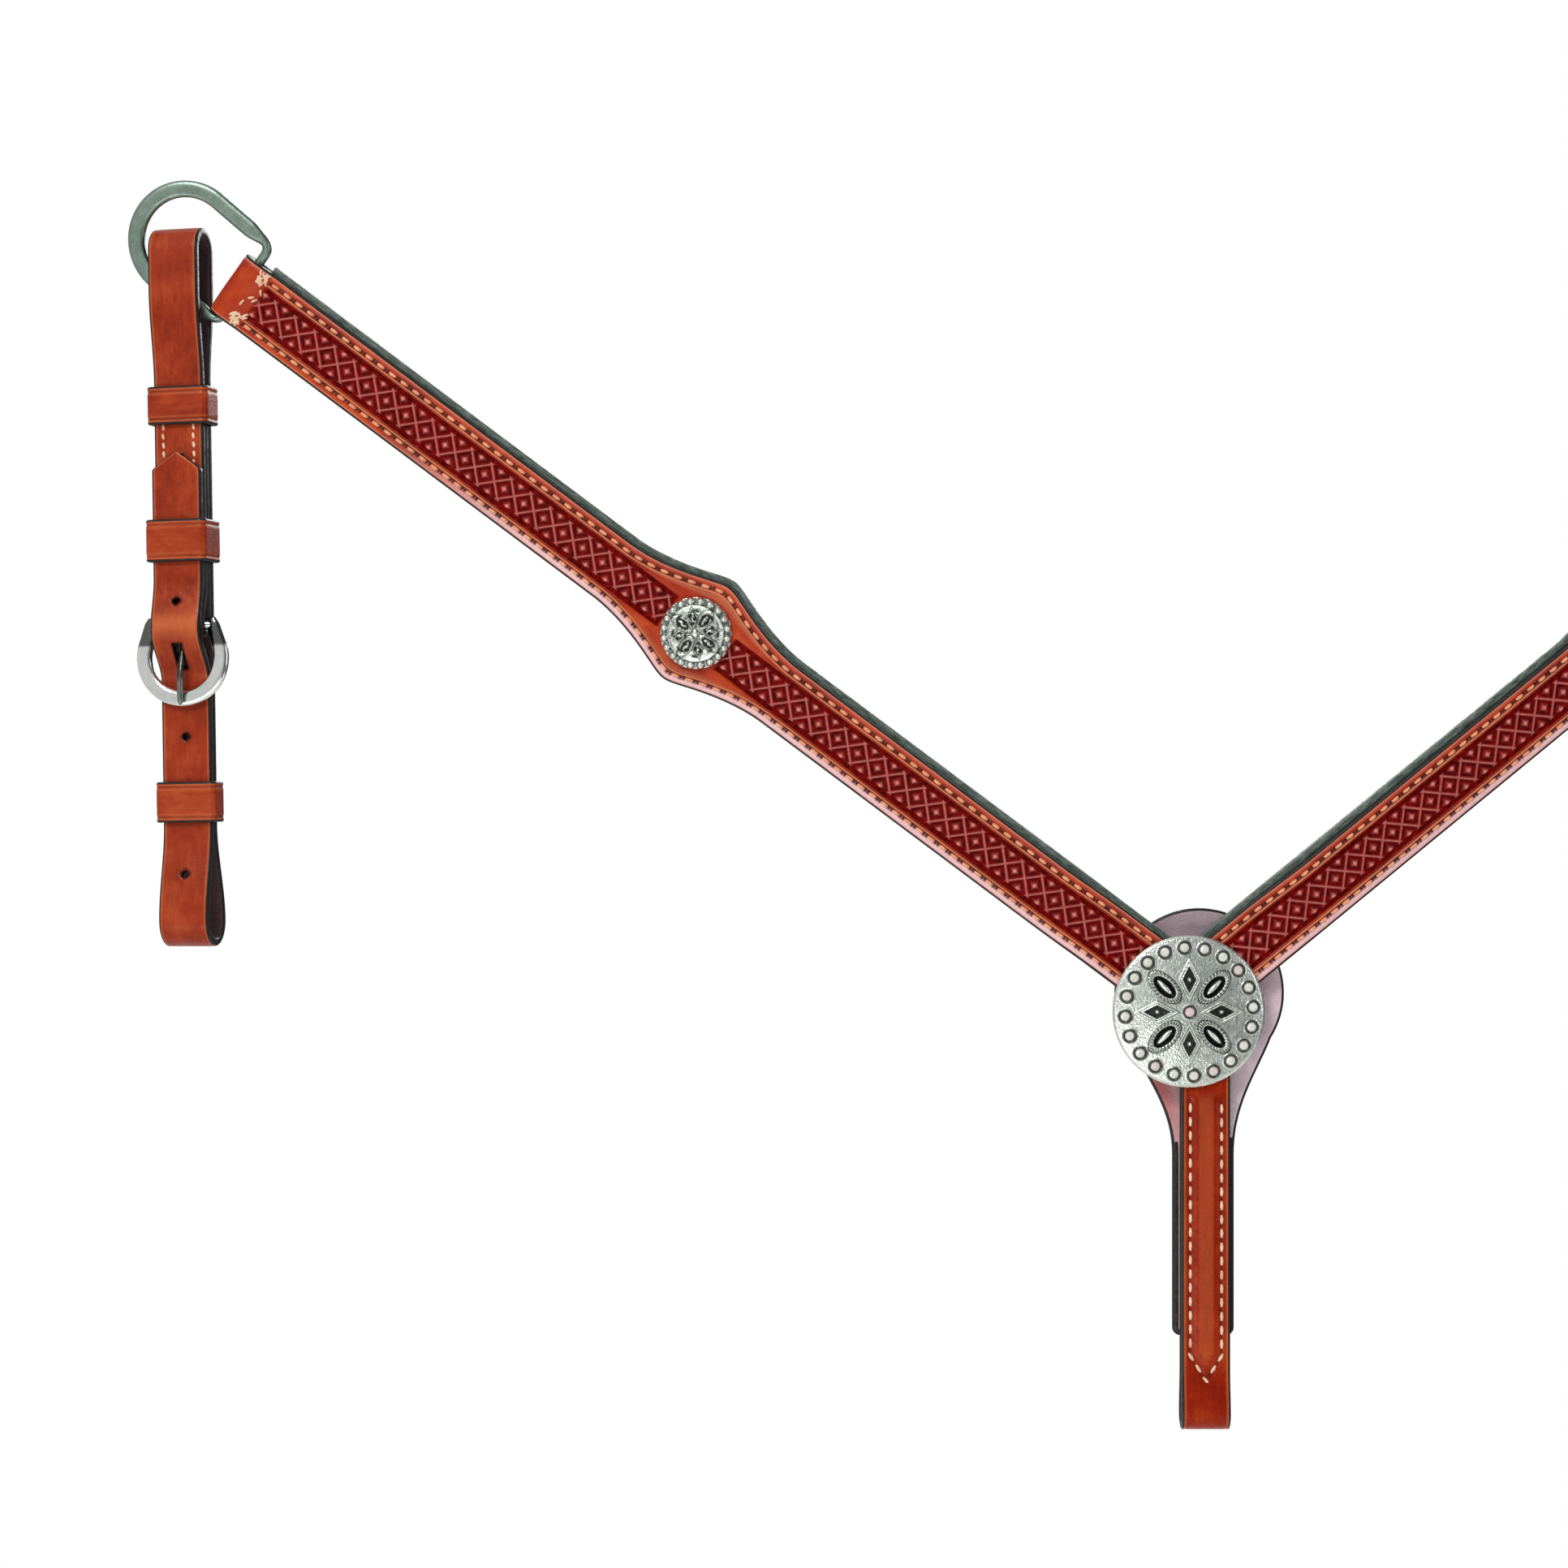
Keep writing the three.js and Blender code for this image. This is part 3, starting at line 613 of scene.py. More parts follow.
def thread_material(name, low, middle, high):
    """Waxed thread, soiled in places."""
    look = Look(name)
    twist_lines = look.noise(2.2, 3, 0.6)
    color = look.ramp(twist_lines, (0.3, low), (0.5, middle), (0.7, high))
    soiled = look.mix(look.range(look.noise(0.08, 3), 0.45, 0.7, 0.0, 0.5), color, srgb(206, 104, 62))
    return look.finish(Base_Color=soiled, Roughness=look.range(twist_lines, 0.3, 0.7, 0.5, 0.7),
                       Normal=look.bump(look.noise(6.0, 2), 0.06), Sheen_Weight=0.3)


def silver(name, bright, tarnish, low=0.22, high=0.42, stipple=0.0, coordinates=True):
    """Cast metal: tarnish sits in the hollows, painted shade falls where a piece is shaded by others, with
    fine scratches and a soft mottle on the rest.
    """
    look = Look(name, coordinates)
    mottle = look.noise(0.22, 5, 0.65)
    scratch = look.noise(1.4, 4, 0.7, stretch=(1, 0.2, 1))
    color = look.mix(look.range(mottle, 0.35, 0.7, 0.0, 0.55), bright, tarnish)
    if coordinates:
        color = look.mix(look.value("dark"), color, srgb(24, 26, 24))
    roughness = look.range(scratch, 0.3, 0.7, low, high)
    normal = look.bump(scratch, 0.02, look.bump(look.noise(0.5, 3), 0.05))
    if stipple:
        normal = look.bump(look.cells(1.5, "SMOOTH_F1"), stipple, normal)
    return look.finish(Base_Color=color, Roughness=roughness, Normal=normal, Metallic=1.0)


def stone_material():
    look = Look("stone")
    tint = look.value("tint")
    color = look.ramp(tint, (0.0, srgb(226, 228, 218)), (0.6, srgb(216, 214, 204)),
                      (1.0, srgb(226, 196, 204)))
    clouded = look.mix(look.range(look.noise(0.9, 3), 0.4, 0.7, 0.0, 0.4), color, srgb(168, 172, 166))
    return look.finish(Base_Color=clouded, Roughness=look.range(look.noise(1.5, 2), 0.3, 0.7, 0.06, 0.18),
                       Specular_IOR_Level=0.8, Coat_Weight=0.6, Coat_Roughness=0.05)


TOOLED = tooled_leather()
CHESTNUT = chestnut("chestnut_leather", srgb(116, 26, 8), srgb(144, 45, 18), srgb(168, 68, 34))
DOWN_CHESTNUT = chestnut("chestnut_leather_dark", srgb(114, 15, 1), srgb(140, 27, 2), srgb(164, 50, 8), 0.26)
BLACK_EDGE = edge_leather("edge_black", srgb(14, 11, 9), srgb(30, 26, 24), srgb(58, 58, 54))
# Painted reflection: a black-dyed edge is coloured grey-green for the light it catches.
GREY_SHEEN_EDGE = edge_leather("edge_grey_painted_reflection", srgb(66, 76, 70), srgb(108, 122, 113), srgb(146, 160, 150))
FLESH = flesh_leather("flesh_side", srgb(52, 30, 34), srgb(98, 64, 68))
LINING_BACK = flesh_leather("lining_leather", srgb(122, 66, 58), srgb(168, 108, 94), 0.5, 0.25)
# Painted sheen: the backing's smooth reddish leather is coloured pale lilac for the light it reflects.
BACKING_SHEEN_FACE = flesh_leather("backing_face_painted_sheen", srgb(196, 164, 176), srgb(240, 222, 228), 0.42, 0.4)
THREAD = thread_material("thread_cream", srgb(206, 158, 120), srgb(236, 200, 166), srgb(250, 226, 200))
TAN_THREAD = thread_material("thread_tan", srgb(206, 120, 78), srgb(232, 158, 112), srgb(248, 194, 152))
FILLER = flesh_leather("filler_leather", srgb(84, 48, 34), srgb(134, 86, 62), 0.8, 0.2, False)
ANTIQUE = silver("antique_silver", srgb(236, 242, 234), srgb(168, 180, 168), 0.22, 0.4, 0.13)
RING_METAL = silver("cast_nickel", srgb(142, 160, 148), srgb(98, 116, 106), 0.3, 0.46)
BRIGHT = silver("bright_silver", srgb(240, 243, 240), srgb(205, 212, 206), 0.1, 0.22)
PRONG_METAL = silver("prong_metal", srgb(140, 146, 138), srgb(84, 90, 84), 0.25, 0.4)
STONE = stone_material()
SCREW_METAL = silver("screw_steel", srgb(176, 176, 172), srgb(120, 120, 116), 0.3, 0.45, coordinates=False)


def dress(node, material):
    """A CAD node that stays as it is gets a better material."""
    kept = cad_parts[node]
    kept.data.materials.clear()
    kept.data.materials.append(material)


# Arms ------------------------------------------------------------------------------------------

def arm_half(along):
    reach = np.hypot((along - FLARE_AT) / FLARE_HALF_LENGTH, FLARE_ROUND)
    rise = np.maximum(0, (1 - reach) / (1 - FLARE_ROUND))
    return ARM_HALF + FLARE_HEIGHT * rise ** FLARE_POWER


def stitch_row(start, end, hand, pitch=STITCH_PITCH, inset=STITCH_INSET):
    """Places and directions of one row of stitches that follows an arm's edge."""
    along = np.arange(start, end, 0.5)
    edge = np.stack([along, hand * (arm_half(along) - inset)], 1)
    stops = np.arange(pitch / 2, length_of(edge), pitch)
    middle = resample(edge, stops)
    ahead = resample(edge, stops + 0.4) - resample(edge, stops - 0.4)
    return middle, ahead


ROWS = [stitch_row(ARM_START + 6, STITCH_END, hand) for hand in (-1, 1)]


def bulge(along):
    """How far the face stands out where the top leather rises into the fold."""
    return FOLD_RISE * ease01((along - BULGE_FROM) / BULGE_LENGTH)


def bumps_at(x, y, centres, radius):
    """1 at each centre, falling to 0 at a radius, for grid points x, y near those centres."""
    from_centre = np.full(x.shape, 1e9)
    order = np.argsort(centres[:, 0])
    sorted_centres = centres[order]
    place = np.searchsorted(sorted_centres[:, 0], x)
    for step in (-1, 0):
        index = np.clip(place + step, 0, len(sorted_centres) - 1)
        gap = np.hypot(x - sorted_centres[index, 0], y - sorted_centres[index, 1])
        from_centre = np.minimum(from_centre, gap)
    return np.clip(1 - from_centre / radius, 0, 1)


def tooling(s, t):
    """Height of the stamped lattice at distance s along and t across, and how pale it is painted, as a
    highlight on the raised lines and pyramid tips.
    """
    u, v = (s - PHASE - t) / math.sqrt(2), (s - PHASE + t) / math.sqrt(2)
    pitch = REPEAT / math.sqrt(2)
    line_u = np.abs((u + pitch / 2) % pitch - pitch / 2)
    line_v = np.abs((v + pitch / 2) % pitch - pitch / 2)
    inside = ease01((STAMP_HALF - np.abs(t)) / 0.5)
    ridge = np.exp(-(np.minimum(line_u, line_v) / 0.33) ** 2) * inside
    cell = np.maximum(np.abs(u % pitch - pitch / 2), np.abs(v % pitch - pitch / 2))
    pyramid = np.clip((1.8 - cell) / 1.15, 0, 1) * inside
    moat = np.clip((2.75 - cell) / 0.5, 0, 1) * (1 - pyramid)
    height = -0.85 + 0.78 * ridge + 0.8 * pyramid - 0.3 * moat
    tip = np.clip(1 - cell / 0.95, 0, 1) * inside
    # Painted highlight: the raised lines and the pyramid tips get the pale colour.
    relief = np.maximum(ridge * 0.8, 0.22 * pyramid + 1.1 * tip)
    return height, relief


def arm_columns(along):
    """Widths of the columns at each station: a fixed band, then margins that follow the edge."""
    half = arm_half(along)[:, None]
    band = np.arange(-BAND_HALF, BAND_HALF + 0.01, CELL)[None, :] + 0 * half
    insets = np.array([5.15, 4.85, 4.55, 4.25, 3.9, 3.5, 3.1, 2.7, 2.3, 1.9, 1.5, 1.15, 0.9])[None, :]
    inner = BAND_HALF
    outer = half - insets[:, 0:1]
    plain = inner + (outer - inner) * np.array([[0.3, 0.65]])
    margin = np.concatenate([plain, half - insets], 1)
    return np.concatenate([-margin[:, ::-1], band, margin], 1)


def arm_leather(side):
    """The top leather: tooled face, crease lines, stitch channels, and the fold round the ring's bar."""
    first = PHASE + CELL * math.ceil((ARM_START - PHASE) / CELL)
    flat = np.arange(first, DEE_BAR_AT - 10, CELL)
    ahead = np.linspace(DEE_BAR_AT - 9.6, DEE_BAR_AT - 1.2, 14)
    angles = np.radians(np.linspace(100, -100, 34))
    back = np.linspace(DEE_BAR_AT - 2, FOLD_START, 20)
    round_angles = np.stack([np.cos(angles), np.sin(angles)], 1)
    rise = ease01((ahead - ahead[0]) / (ahead[-1] - ahead[0]))
    outer = lines(
        np.stack([flat, 0 * flat + ARM_FRONT], 1),
        np.stack([ahead, ARM_FRONT + FOLD_RISE * rise], 1),
        DEE_BAR_EYE + FOLD_RADIUS * round_angles,
        np.stack([back, -ARM_FRONT - FOLD_RISE * ease01((back - back[-1] - 8) / 10)], 1),
    )
    inner = lines(
        np.stack([flat, 0 * flat + ARM_INNER], 1),
        np.stack([ahead, ARM_INNER + 2.2 * rise], 1),
        DEE_BAR_EYE + (DEE_BAR_RADIUS + GAP) * round_angles,
        np.stack([back, LINING_TOP - 1.8 * ease01((back - back[-1] - 8) / 10)], 1),
    )
    steps = np.linalg.norm(np.diff((outer + inner) / 2, axis=0), axis=1)
    along = np.concatenate([[first], first + np.cumsum(steps)])
    half = arm_half(np.minimum(along, DEE_BAR_AT))
    columns = arm_columns(np.minimum(along, DEE_BAR_AT))
    s = along[:, None] + 0 * columns
    inset = half[:, None] - np.abs(columns)
    height, relief = tooling(s, columns)
    near = np.abs(s - FLARE_AT)
    mask = ease01((near - 13.2) / 1.6) * ease01((TOOLING_END - s) / 1.5)
    mask = mask * (np.abs(columns) < BAND_HALF - 0.2)
    lift = height * mask
    bead_at = 5.15
    groove = np.exp(-((inset - bead_at - 0.3) / 0.35) ** 2) + np.exp(-((inset - bead_at + 0.9) / 0.3) ** 2)
    bead = np.exp(-((inset - bead_at + 0.3) / 0.33) ** 2)
    flat_part = ease01((STITCH_END - s) / 2)
    margin = (np.abs(columns) > BAND_HALF - 0.2) * flat_part
    lift += margin * (0.2 * bead - 0.28 * groove)
    channel = np.exp(-((inset - STITCH_INSET) / 0.75) ** 2)
    pits = np.zeros(columns.shape)
    for middle, direction in ROWS:
        unit = direction / np.linalg.norm(direction, axis=1, keepdims=True)
        ends = np.concatenate([middle + unit * 2.15, middle - unit * 2.15])
        spots = bumps_at(s, columns, ends, 1.25)
        pits = np.maximum(pits, spots)
    lift -= flat_part * (0.16 * channel + 0.55 * ease01(pits * 1.4))
    crown = 0.65 * np.clip(1 - inset / 3.6, 0, 1) ** 2
    lift -= crown
    wrinkle = 0.05 * np.sin(s * 0.31 + 2 * np.sin(columns * 0.2 + s * 0.05))
    lift += wrinkle * (1 - mask)
    lift *= ease01(inset / 1.1)
    shape = Skin(outer, inner, half, columns, lift, 0.85, 0.3)
    faces, kinds = shape.faces()
    local = shape.points[:, [0, 1, 2]]
    rest = np.stack([np.repeat(along, shape.loop_count), local[:, 1], local[:, 2]], 1)
    # Painted shade: the stitch pits and the crease grooves are darkened.
    dark = np.clip(0.9 * ease01(pits * 1.3) + margin * 0.5 * groove, 0, 1) * flat_part
    # Wear and painted highlight: the bead line and the rounded edge are lightened.
    wear = np.clip(margin * 0.9 * bead + 0.6 * np.exp(-((inset - 1.0) / 0.4) ** 2), 0, 1)
    # Painted sheen: the lower margin, fading towards the ring, with a trace on the upper margin.
    lower = (columns < 0) * np.clip((STITCH_INSET + 0.9 - inset) / 1.6, 0, 1)
    bloom = lower * ease01((400 - s) / 90) * (1 - 0.8 * ease01(pits * 1.3))
    bloom = np.clip(bloom + 0.1 * (columns > 0) * np.clip((STITCH_INSET - 1 - inset) / 1.2, 0, 1), 0, 1)
    made = build(
        f"{side}_arm_face", twist(local), faces, arm_frame(side, 0), [TOOLED, BLACK_EDGE, FLESH], kinds,
        place=rest, relief=shape.field(relief * mask), tooled=shape.field(mask),
        wear=shape.field(wear), dark=shape.field(dark), bloom=shape.field(bloom),
    )
    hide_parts(f"{side}_arm_leather_inner", f"{side}_arm_leather")
    return made


def arm_lining(side):
    """The lining, a little wider than the top leather along the upper edge, sewn through."""
    along = np.concatenate([np.arange(ARM_START, FOLD_START - GAP, 1.2), [FOLD_START - GAP]])
    half = arm_half(along) + LINING_PROUD / 2
    shares = np.array([0, 0.25, 0.5, 0.7])
    insets = np.array([6.5, 5.2, 4.4, 3.9, 3.5, 3.1, 2.4, 1.8, 1.25])
    inner = (half[:, None] - insets[0]) * shares[None, :]
    side_columns = np.concatenate([inner[:, 1:], half[:, None] - insets[None, :]], 1)
    columns = np.concatenate([-side_columns[:, ::-1], inner[:, :1], side_columns], 1)
    inset = half[:, None] - np.abs(columns)
    channel = np.exp(-((inset - STITCH_INSET - 0.6) / 0.7) ** 2)
    s = along[:, None] + 0 * columns
    lift = -0.2 * channel + 0.07 * np.sin(s * 0.21 + 1.5 * np.sin(columns * 0.3))
    lift *= ease01((inset - 1.2) / 1.0)
    outer = np.stack([along, 0 * along - ARM_FRONT], 1)
    inner_line = np.stack([along, 0 * along + LINING_TOP], 1)
    shape = Skin(outer, inner_line, half, columns, lift, 1.2, 0.5)
    faces, kinds = shape.faces()
    local = shape.points.copy()
    local[:, 1] += LINING_PROUD / 2
    # Painted shade: the stitch channel on the back is darkened.
    made = build(f"{side}_lining", twist(local), faces, arm_frame(side, 0),
                 [LINING_BACK, GREY_SHEEN_EDGE, GREY_SHEEN_EDGE], kinds, place=local, dark=shape.field(channel * 0.35),
                 shade=shape.field(ease01((inset - 1.1) / 0.6)))
    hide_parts(f"{side}_arm_lining_inner", f"{side}_arm_lining")
    return made


def arm_thread(side):
    """Both rows of stitches, in front and behind."""
    parts = []
    for middle, direction in ROWS:
        n = len(middle)
        spots = np.stack([middle[:, 0], middle[:, 1], ARM_FRONT - 0.14 + bulge(middle[:, 0])], 1)
        along = np.stack([direction[:, 0], direction[:, 1], np.zeros(n)], 1)
        parts.append(stitches(spots, along, np.tile([0.0, 0, 1], (n, 1))))
        behind = spots.copy()
        behind[:, 0] += STITCH_PITCH / 2
        behind[:, 2] = -ARM_FRONT + 0.18
        low = behind[:, 0] < FOLD_START + 6
        parts.append(stitches(behind[low], along[low], np.tile([0.0, 0, -1], (low.sum(), 1)), 3.2))
    points, faces = merged(parts)
    return build(f"{side}_arm_thread", twist(points), faces, arm_frame(side, 0), [TAN_THREAD], place=points)


def bar_tack(side):
    """Cross stitches that close the fold round the ring, crowded towards both edges."""
    random = np.random.default_rng(5)
    spots, along = [], []
    for middle, spread, count in ((-9.4, 1.9, 17), (9.4, 1.9, 16), (0.0, 6.5, 5)):
        for _ in range(count):
            at = BAR_TACK_AT + random.uniform(-2.6, 2.2)
            across = middle + random.uniform(-spread, spread)
            spots.append([at, across, ARM_FRONT + bulge(at)])
            along.append([random.uniform(-1.3, 1.3), 1, 0])
    up = np.tile([0.0, 0, 1], (len(spots), 1))
    points, faces = stitches(spots, along, up, 3.0, 0.45, 0.7)
    made = build(f"{side}_bar_tack", points, faces, arm_frame(side, ARM_ROLL), [THREAD])
    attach(made, f"{side}_arm")


def flap_edge(side):
    """The proud edge of the flap behind the fold, in line with the lining."""
    stops = np.linspace(FOLD_START - 0.6, DEE_BAR_AT - FOLD_RADIUS, 30)
    outside = np.stack([stops, 0 * stops + ARM_HALF + LINING_PROUD], 1)
    inside = np.stack([stops, 0 * stops + ARM_HALF - 0.8], 1)
    points, faces = band_sweep(outside, inside, ARM_FRONT + LINING_TOP, 4.0, 24)
    base = arm_frame(side, ARM_ROLL) @ shift(0, 0, (LINING_TOP - ARM_FRONT) / 2)
    made = build(f"{side}_flap_edge", points, faces, base, [GREY_SHEEN_EDGE], place=points)
    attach(made, f"{side}_arm")


def make_arm(side):
    base = arm_frame(side, 0)
    for made in (arm_leather(side), arm_lining(side), arm_thread(side)):
        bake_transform(made)
    bar_tack(side)
    flap_edge(side)
    small_concho(side)
    dress(f"{side}_concho_screw", SCREW_METAL)


# Conchos ---------------------------------------------------------------------------------------

def disc(radius, rings, spokes, height_of):
    """A round casting from a height field on a polar grid. Returns points, faces and darkness."""
    r = np.concatenate([[0.15], np.linspace(0, radius, rings + 1)[1:]])
    angle = np.linspace(0, 2 * math.pi, spokes, endpoint=False)
    rr, aa = np.meshgrid(r, angle, indexing="ij")
    x, y = rr * np.cos(aa), rr * np.sin(aa)
    z, dark = height_of(rr, aa)
    top = np.stack([x, y, z], -1)
    rim = np.stack([x[-1], y[-1], np.zeros(spokes)], -1)[None]
    inward = rim * [[(radius - 0.8) / radius, (radius - 0.8) / radius, 1]]
    under = rim * [[0.3, 0.3, 1]]
    points = np.concatenate([top, rim, inward, under]).reshape(-1, 3)
    shade = np.concatenate([dark, np.full((3, spokes), 0.5)]).ravel()
    count = len(r) + 3
    quads = grid_faces(count, spokes, wrap_columns=True).reshape(-1, 4)
    return points, [quads, *end_caps(count, spokes)], shade


def bell(value, width):
    return np.exp(-(value / width) ** 2)


CUPS = 20
CUP_CIRCLE = 25.4
CUP_RADIUS = 1.95
CUP_WALL = 0.95
CUP_PHASE = math.radians(4.2)
RHOMB_AT = 12.8
OVAL_AT = 13.9
PETALS = 4


def large_height(r, a):
    """The large concho's face: a low dome with stone cups, four rhombs and four ovals."""
    base = 2.0 + 3.0 * (1 - (r / LARGE_RADIUS) ** 2)
    height = base - 0.5 * ease01((r - 29.2) / 0.95)
    dark = np.zeros(r.shape)
    step = 2 * math.pi / CUPS
    near = ((a - CUP_PHASE + step / 2) % step) - step / 2
    gap = np.minimum(np.hypot(r * np.cos(near) - CUP_CIRCLE, r * np.sin(near)), r)
    height += 0.75 * bell(gap - CUP_RADIUS - CUP_WALL / 2, 0.4)
    height -= 0.6 * ease01((CUP_RADIUS + 0.1 - gap) / 0.3)
    dark = np.maximum(dark, ease01((CUP_RADIUS + 0.3 - gap) / 0.25))
    dark = np.maximum(dark, bell(gap - CUP_RADIUS - CUP_WALL / 2, 0.5))
    dark = np.maximum(dark, 0.5 * bell(gap - CUP_RADIUS - CUP_WALL, 0.3))
    quarter = 2 * math.pi / PETALS
    turned = ((a + quarter / 2) % quarter) - quarter / 2
    along, across = r * np.cos(turned) - RHOMB_AT, r * np.sin(turned)
    rhomb = np.abs(along) / 8.2 + np.abs(across) / 4.2
    height += 0.4 * bell(rhomb - 0.97, 0.06) + 0.3 * bell(rhomb - 0.73, 0.05)
    height -= 0.6 * ease01((0.66 - rhomb) / 0.12)
    dark = np.maximum(dark, ease01((0.68 - rhomb) / 0.06) * 0.95)
    dark = np.maximum(dark, 0.9 * bell(rhomb - 0.84, 0.045) + 0.85 * bell(rhomb - 1.1, 0.035))
    bead = np.hypot(along, across)
    height += 0.9 * np.sqrt(np.clip(1 - (bead / 0.8) ** 2, 0, 1))
    dark = np.where(bead < 0.8, 0.0, dark)
    turned = (a % quarter) - quarter / 2
    along, across = r * np.cos(turned) - OVAL_AT, r * np.sin(turned)
    oval = np.hypot(along / 7.3, across / 3.9)
    around = np.arctan2(across / 3.9, along / 7.3)
    milled = 0.5 + 0.5 * np.cos(around * 26)
    height += (0.1 + 0.75 * milled) * bell(oval - 0.94, 0.1)
    height -= 0.6 * ease01((0.72 - oval) / 0.12)
    dark = np.maximum(dark, ease01((0.8 - oval) / 0.06))
    dark = np.maximum(dark, (1 - milled) * bell(oval - 0.94, 0.14) + 0.95 * bell(oval - 1.12, 0.05))
    seed = np.hypot(along / 4.0, across / 1.15)
    height += 1.25 * np.sqrt(np.clip(1 - seed ** 2, 0, 1))
    dark = np.where(seed < 0.97, 0.0, dark)
    return height, np.clip(dark, 0, 1)


def small_height(r, a):
    """The small concho's face: a ring of beads round eight petals."""
    base = 1.6 + 1.4 * (1 - (r / SMALL_RADIUS) ** 2)
    step = 2 * math.pi / 20
    near = (a % step) - step / 2
    gap = np.hypot(r * np.cos(near) - 12.95, r * np.sin(near))
    height = base - 0.8 * ease01((r - 11.2) / 0.5)
    height += 1.8 * np.sqrt(np.clip(1 - (gap / 1.5) ** 2, 0, 1))
    dark = (0.75 * ease01((r - 11.1) / 0.4) - 0.35 * ease01((r - 13.6) / 0.4)) * (gap > 1.42)
    height += 0.35 * bell(r - 11.0, 0.35)
    for count, middle, length, width, phase in ((4, 6.4, 4.0, 2.1, 0.0), (4, 6.4, 3.7, 1.9, math.pi / 4)):
        sector = 2 * math.pi / count
        turned = ((a - phase + sector / 2) % sector) - sector / 2
        along, across = r * np.cos(turned) - middle, r * np.sin(turned)
        if phase:
            petal = np.abs(along) / length + np.abs(across) / width
        else:
            petal = np.hypot(along / length, across / width)
        height += 0.5 * bell(petal - 0.98, 0.13) - 0.4 * ease01((0.8 - petal) / 0.2)
        dark = np.maximum(dark, 0.95 * ease01((0.82 - petal) / 0.1) + 0.85 * bell(petal - 1.25, 0.12))
        seed = np.hypot(along / (length * 0.55), across / (width * 0.42))
        height += 0.6 * np.sqrt(np.clip(1 - seed ** 2, 0, 1))
        dark = np.where(seed < 0.95, 0.0, dark)
    height += 0.6 * np.sqrt(np.clip(1 - (r / 1.5) ** 2, 0, 1))
    dark = np.maximum(dark, 0.8 * bell(r - 1.75, 0.25))
    scroll = np.sin(a * 8 + 0.6 * np.sin(r * 1.4)) * np.sin(r * 1.9)
    field = ease01((r - 2) / 1) * ease01((10.6 - r) / 1)
    height += 0.1 * scroll * field
    dark = np.maximum(dark, 0.3 * field)
    dark = np.maximum(dark, 0.95 * np.clip(0.25 - scroll, 0, 1) * field)
    return height, np.clip(dark, 0, 1)


def boss(radius, depth, sides=24):
    """The threaded boss behind a concho."""
    angle = np.linspace(0, 2 * math.pi, sides, endpoint=False)
    ring = np.stack([radius * np.cos(angle), radius * np.sin(angle), 0 * angle], 1)
    points = np.concatenate([ring + [0, 0, 0.2], ring + [0, 0, -depth]])
    quads = grid_faces(2, sides, wrap_columns=True).reshape(-1, 4)
    return points, [quads, *end_caps(2, sides)]


def centre_frame(y):
    """X to the viewer's right, Y up, Z out of the face, at a depth."""
    return shift(0, y, 0) @ turn("x", math.pi / 2)


def gem(x, y, z, radius, spin):
    """A round-cut stone: girdle, crown facets and a table."""
    sides = 12
    angle = np.linspace(0, 2 * math.pi, sides, endpoint=False) + spin
    rows = [(0.9, -0.5, 0), (1.0, 0.0, 0), (0.78, 0.45, 0.5), (0.45, 0.72, 0)]
    points = np.concatenate([
        np.stack([x + radius * k * np.cos(angle + half * math.pi / sides * 2),
                  y + radius * k * np.sin(angle + half * math.pi / sides * 2),
                  np.full(sides, z + h)], 1) for k, h, half in rows])
    quads = grid_faces(len(rows), sides, wrap_columns=True).reshape(-1, 4)
    return points, [quads, *end_caps(len(rows), sides)]


def large_concho():
    face_y = STACK_FRONT - GAP
    points, faces, dark = disc(LARGE_RADIUS, 128, 560, large_height)
    more, more_faces = boss(2.5, 7.2)
    joined, faces = merged([(points, faces), (more, more_faces)])
    # Painted shade: the boss behind the concho is darkened.
    made = build("large_concho_casting", joined, faces, centre_frame(face_y), [ANTIQUE],
                 dark=np.concatenate([dark, np.full(len(more), 0.5)]))
    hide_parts("centre_concho")
    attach(made, "centre")
    parts, tints = [], []
    random = np.random.default_rng(11)
    for k in range(CUPS):
        a = CUP_PHASE + k * 2 * math.pi / CUPS
        z = 2.0 + 3.0 * (1 - (CUP_CIRCLE / LARGE_RADIUS) ** 2)
        part = gem(CUP_CIRCLE * math.cos(a), CUP_CIRCLE * math.sin(a), z, CUP_RADIUS, random.uniform(0, 1))
        parts.append(part)
        tints.append(np.full(len(part[0]), random.choice([0.1, 0.4, 0.8], p=[0.5, 0.3, 0.2])))
    part = gem(0, 0, 5.0, CUP_RADIUS, 0)
    parts.append(part)
    tints.append(np.full(len(part[0]), 1.0))
    points, faces = merged(parts)
    stones = build("concho_stones", points, faces, centre_frame(face_y), [STONE], tint=np.concatenate(tints))
    stones.data.polygons.foreach_set("use_smooth", np.zeros(len(stones.data.polygons), bool))
    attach(stones, "centre")


def small_concho(side):
    points, faces, dark = disc(SMALL_RADIUS, 74, 320, small_height)
    more, more_faces = boss(2.5, 3.8)
    joined, faces = merged([(points, faces), (more, more_faces)])
    base = arm_frame(side, ARM_ROLL) @ shift(FLARE_AT, 0, ARM_FRONT + GAP)
    # Painted shade: the boss behind the concho is darkened.
    made = build(f"{side}_concho_casting", joined, faces, base, [ANTIQUE],
                 dark=np.concatenate([dark, np.full(len(more), 0.5)]))
    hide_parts(f"{side}_concho")
    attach(made, f"{side}_arm")


# Centre ----------------------------------------------------------------------------------------

def bezier(a, b, c, d, steps=24):
    t = np.linspace(0, 1, steps + 1)[:, None]
    a, b, c, d = (np.asarray(p, float) for p in (a, b, c, d))
    return (1 - t) ** 3 * a + 3 * (1 - t) ** 2 * t * b + 3 * (1 - t) * t ** 2 * c + t ** 3 * d


